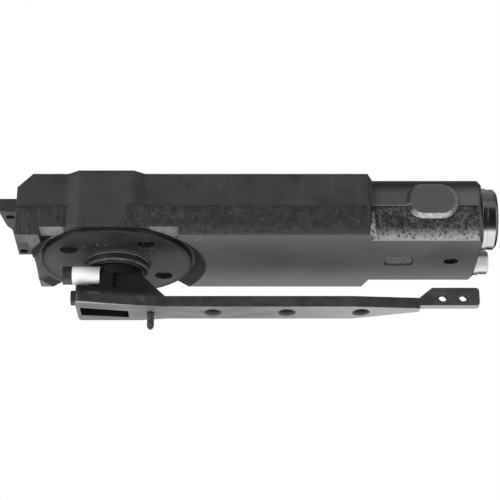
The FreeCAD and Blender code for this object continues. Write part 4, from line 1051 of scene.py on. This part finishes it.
def white_to_view(tree, socket, lit, strength):
    """White for the camera, gloss and glass, and a plain lit surface for all other light."""
    path = tree.nodes.new("ShaderNodeLightPath")
    seen = path.outputs["Is Camera Ray"]
    for ray in ("Is Glossy Ray", "Is Transmission Ray"):
        either = tree.nodes.new("ShaderNodeMath")
        either.operation = "MAXIMUM"
        tree.links.new(seen, either.inputs[0])
        tree.links.new(path.outputs[ray], either.inputs[1])
        seen = either.outputs[0]
    white = tree.nodes.new("ShaderNodeBackground")
    white.inputs["Strength"].default_value = strength
    white.inputs["Color"].default_value = (1, 1, 1, 1)
    mixer = tree.nodes.new("ShaderNodeMixShader")
    tree.links.new(seen, mixer.inputs["Fac"])
    tree.links.new(lit, mixer.inputs[1])
    tree.links.new(white.outputs[0], mixer.inputs[2])
    tree.links.new(mixer.outputs[0], socket)


def make_world(fill):
    """A white world whose light on the part is a weak fill."""
    world = bpy.data.worlds.new("studio")
    bpy.context.scene.world = world
    world.use_nodes = True
    tree = world.node_tree
    lit = tree.nodes["Background"]
    lit.inputs["Color"].default_value = (1, 1, 1, 1)
    lit.inputs["Strength"].default_value = fill
    surface = tree.nodes["World Output"].inputs["Surface"]
    white_to_view(tree, surface, lit.outputs[0], strength=1.0)


def plane(name, corners, material):
    """A plane with four corners, added to the scene."""
    mesh = bpy.data.meshes.new(name)
    mesh.from_pydata(corners, [], [(0, 1, 2, 3)])
    mesh.materials.append(material)
    piece = add_object(name, mesh)
    return piece


def make_floor():
    """A plain pale floor well below the part."""
    half = FLOOR_SIZE / 2
    corners = [(x, y, FLOOR_HEIGHT) for x, y in ((-half, -half), (half, -half), (half, half), (-half, half))]
    s = Surface("floor", Specular_IOR_Level=0.1)
    pale = s.mix(s.noise(3, 3), 0.86, 0.9)
    plane("floor", corners, s.finish(pale, 0.8, s.bump(s.noise(40, 3), 0.02, 1)))


def card_paint(name, dim, light):
    """A card's matt paint between two grey levels."""
    s = Surface(name, Specular_IOR_Level=0.0)
    return s.finish(s.mix(s.noise(4, 2), dim, light), 0.9, s.bump(s.noise(40, 2), 0.02, 1))


def make_cards():
    """Cards that only gloss mirrors: dark low in front and behind, pale high in front and at the right."""
    dark = card_paint("dark_card", 0.015, 0.03)
    grey = card_paint("grey_card", 0.08, 0.1)
    pale = card_paint("pale_card", 0.42, 0.48)
    left = -1.8
    right = 2.0
    front = -0.8
    back = 1.3
    low = FLOOR_HEIGHT + 0.01
    dark_back = -0.42
    dark_top = 0.33
    ceiling = 0.92
    wall_low = -0.6
    wall_top = 0.9
    spans = {
        "front_card": (dark, (front, low), (front, dark_top)),
        "front_upper_card": (pale, (front, dark_top), (front, ceiling)),
        "front_floor_card": (dark, (front, low), (dark_back, low)),
        "back_card": (dark, (back, wall_low), (back, wall_top)),
        "ceiling_card": (grey, (front, ceiling), (back, ceiling)),
    }
    cards = []
    for name, (paint, near, far) in spans.items():
        corners = [(left, *near), (right, *near), (right, *far), (left, *far)]
        cards.append(plane(name, corners, paint))
    side = [(front, wall_low), (back, wall_low), (back, wall_top), (front, wall_top)]
    cards.append(plane("side_card", [(right, y, z) for y, z in side], pale))
    for card in cards:
        for ray in ("camera", "diffuse", "shadow", "transmission", "volume_scatter"):
            setattr(card, f"visible_{ray}", False)


def place_lamp(lamp, place, target):
    """Sets a lamp at a place, turned to its target and unseen by the camera."""
    holder = add_object(lamp.name, lamp)
    holder.location = place
    holder.rotation_mode = "QUATERNION"
    holder.rotation_quaternion = (Vector(target) - Vector(place)).to_track_quat("-Z", "Y")
    holder.visible_camera = False


def make_lamp(name, place, target, size, power):
    """A square lamp."""
    lamp = bpy.data.lights.new(name, "AREA")
    lamp.size = size
    lamp.energy = power
    place_lamp(lamp, place, target)


def make_skylight(name, place, target, spread, strength):
    """A far lamp as wide as its spread, an angle."""
    lamp = bpy.data.lights.new(name, "SUN")
    lamp.angle = spread
    lamp.energy = strength
    place_lamp(lamp, place, target)


def make_lights():
    """Two soft lamps below the part, two in front of it, and a wide sky above."""
    centre = tuple((cad_low + cad_high) / 2)
    make_lamp("key_from_below", (0.1, 0.45, -0.85), centre, size=1.1, power=3.6)
    make_lamp("glow_from_below", (0.12, -0.2, -0.9), centre, size=0.6, power=1.4)
    make_lamp("soft_front", (-0.9, -0.9, 0.1), centre, size=0.7, power=11.5)
    make_lamp("soft_right", (1.2, -0.7, 0.1), centre, size=0.7, power=5.0)
    make_skylight("soft_top", (0.2, 0.3, 2.0), centre, spread=0.9, strength=1.8)


def make_camera():
    """The photograph's camera."""
    lens = bpy.data.cameras.new("photo_camera")
    lens.lens = CAMERA_LENS
    lens.sensor_width = SENSOR_WIDTH
    lens.clip_start = CLIP_START
    camera = add_object("photo_camera", lens)
    ahead = Vector((0, math.cos(CAMERA_ELEVATION), -math.sin(CAMERA_ELEVATION)))
    camera.location = CAMERA_TARGET - ahead * CAMERA_DISTANCE
    camera.rotation_mode = "QUATERNION"
    camera.rotation_quaternion = ahead.to_track_quat("-Z", "Y")
    bpy.context.scene.camera = camera


finish_nodes()
noise.seed_set(GRAIN_SEED)
front_grain()
slope_grain()
end_grain()
pocket_grain()
shoulder_flash()
threaded_set_screw()
shortening_spring()
make_world(fill=0.26)
make_floor()
make_cards()
make_lights()
make_camera()
bpy.context.scene.view_settings.view_transform = "Standard"
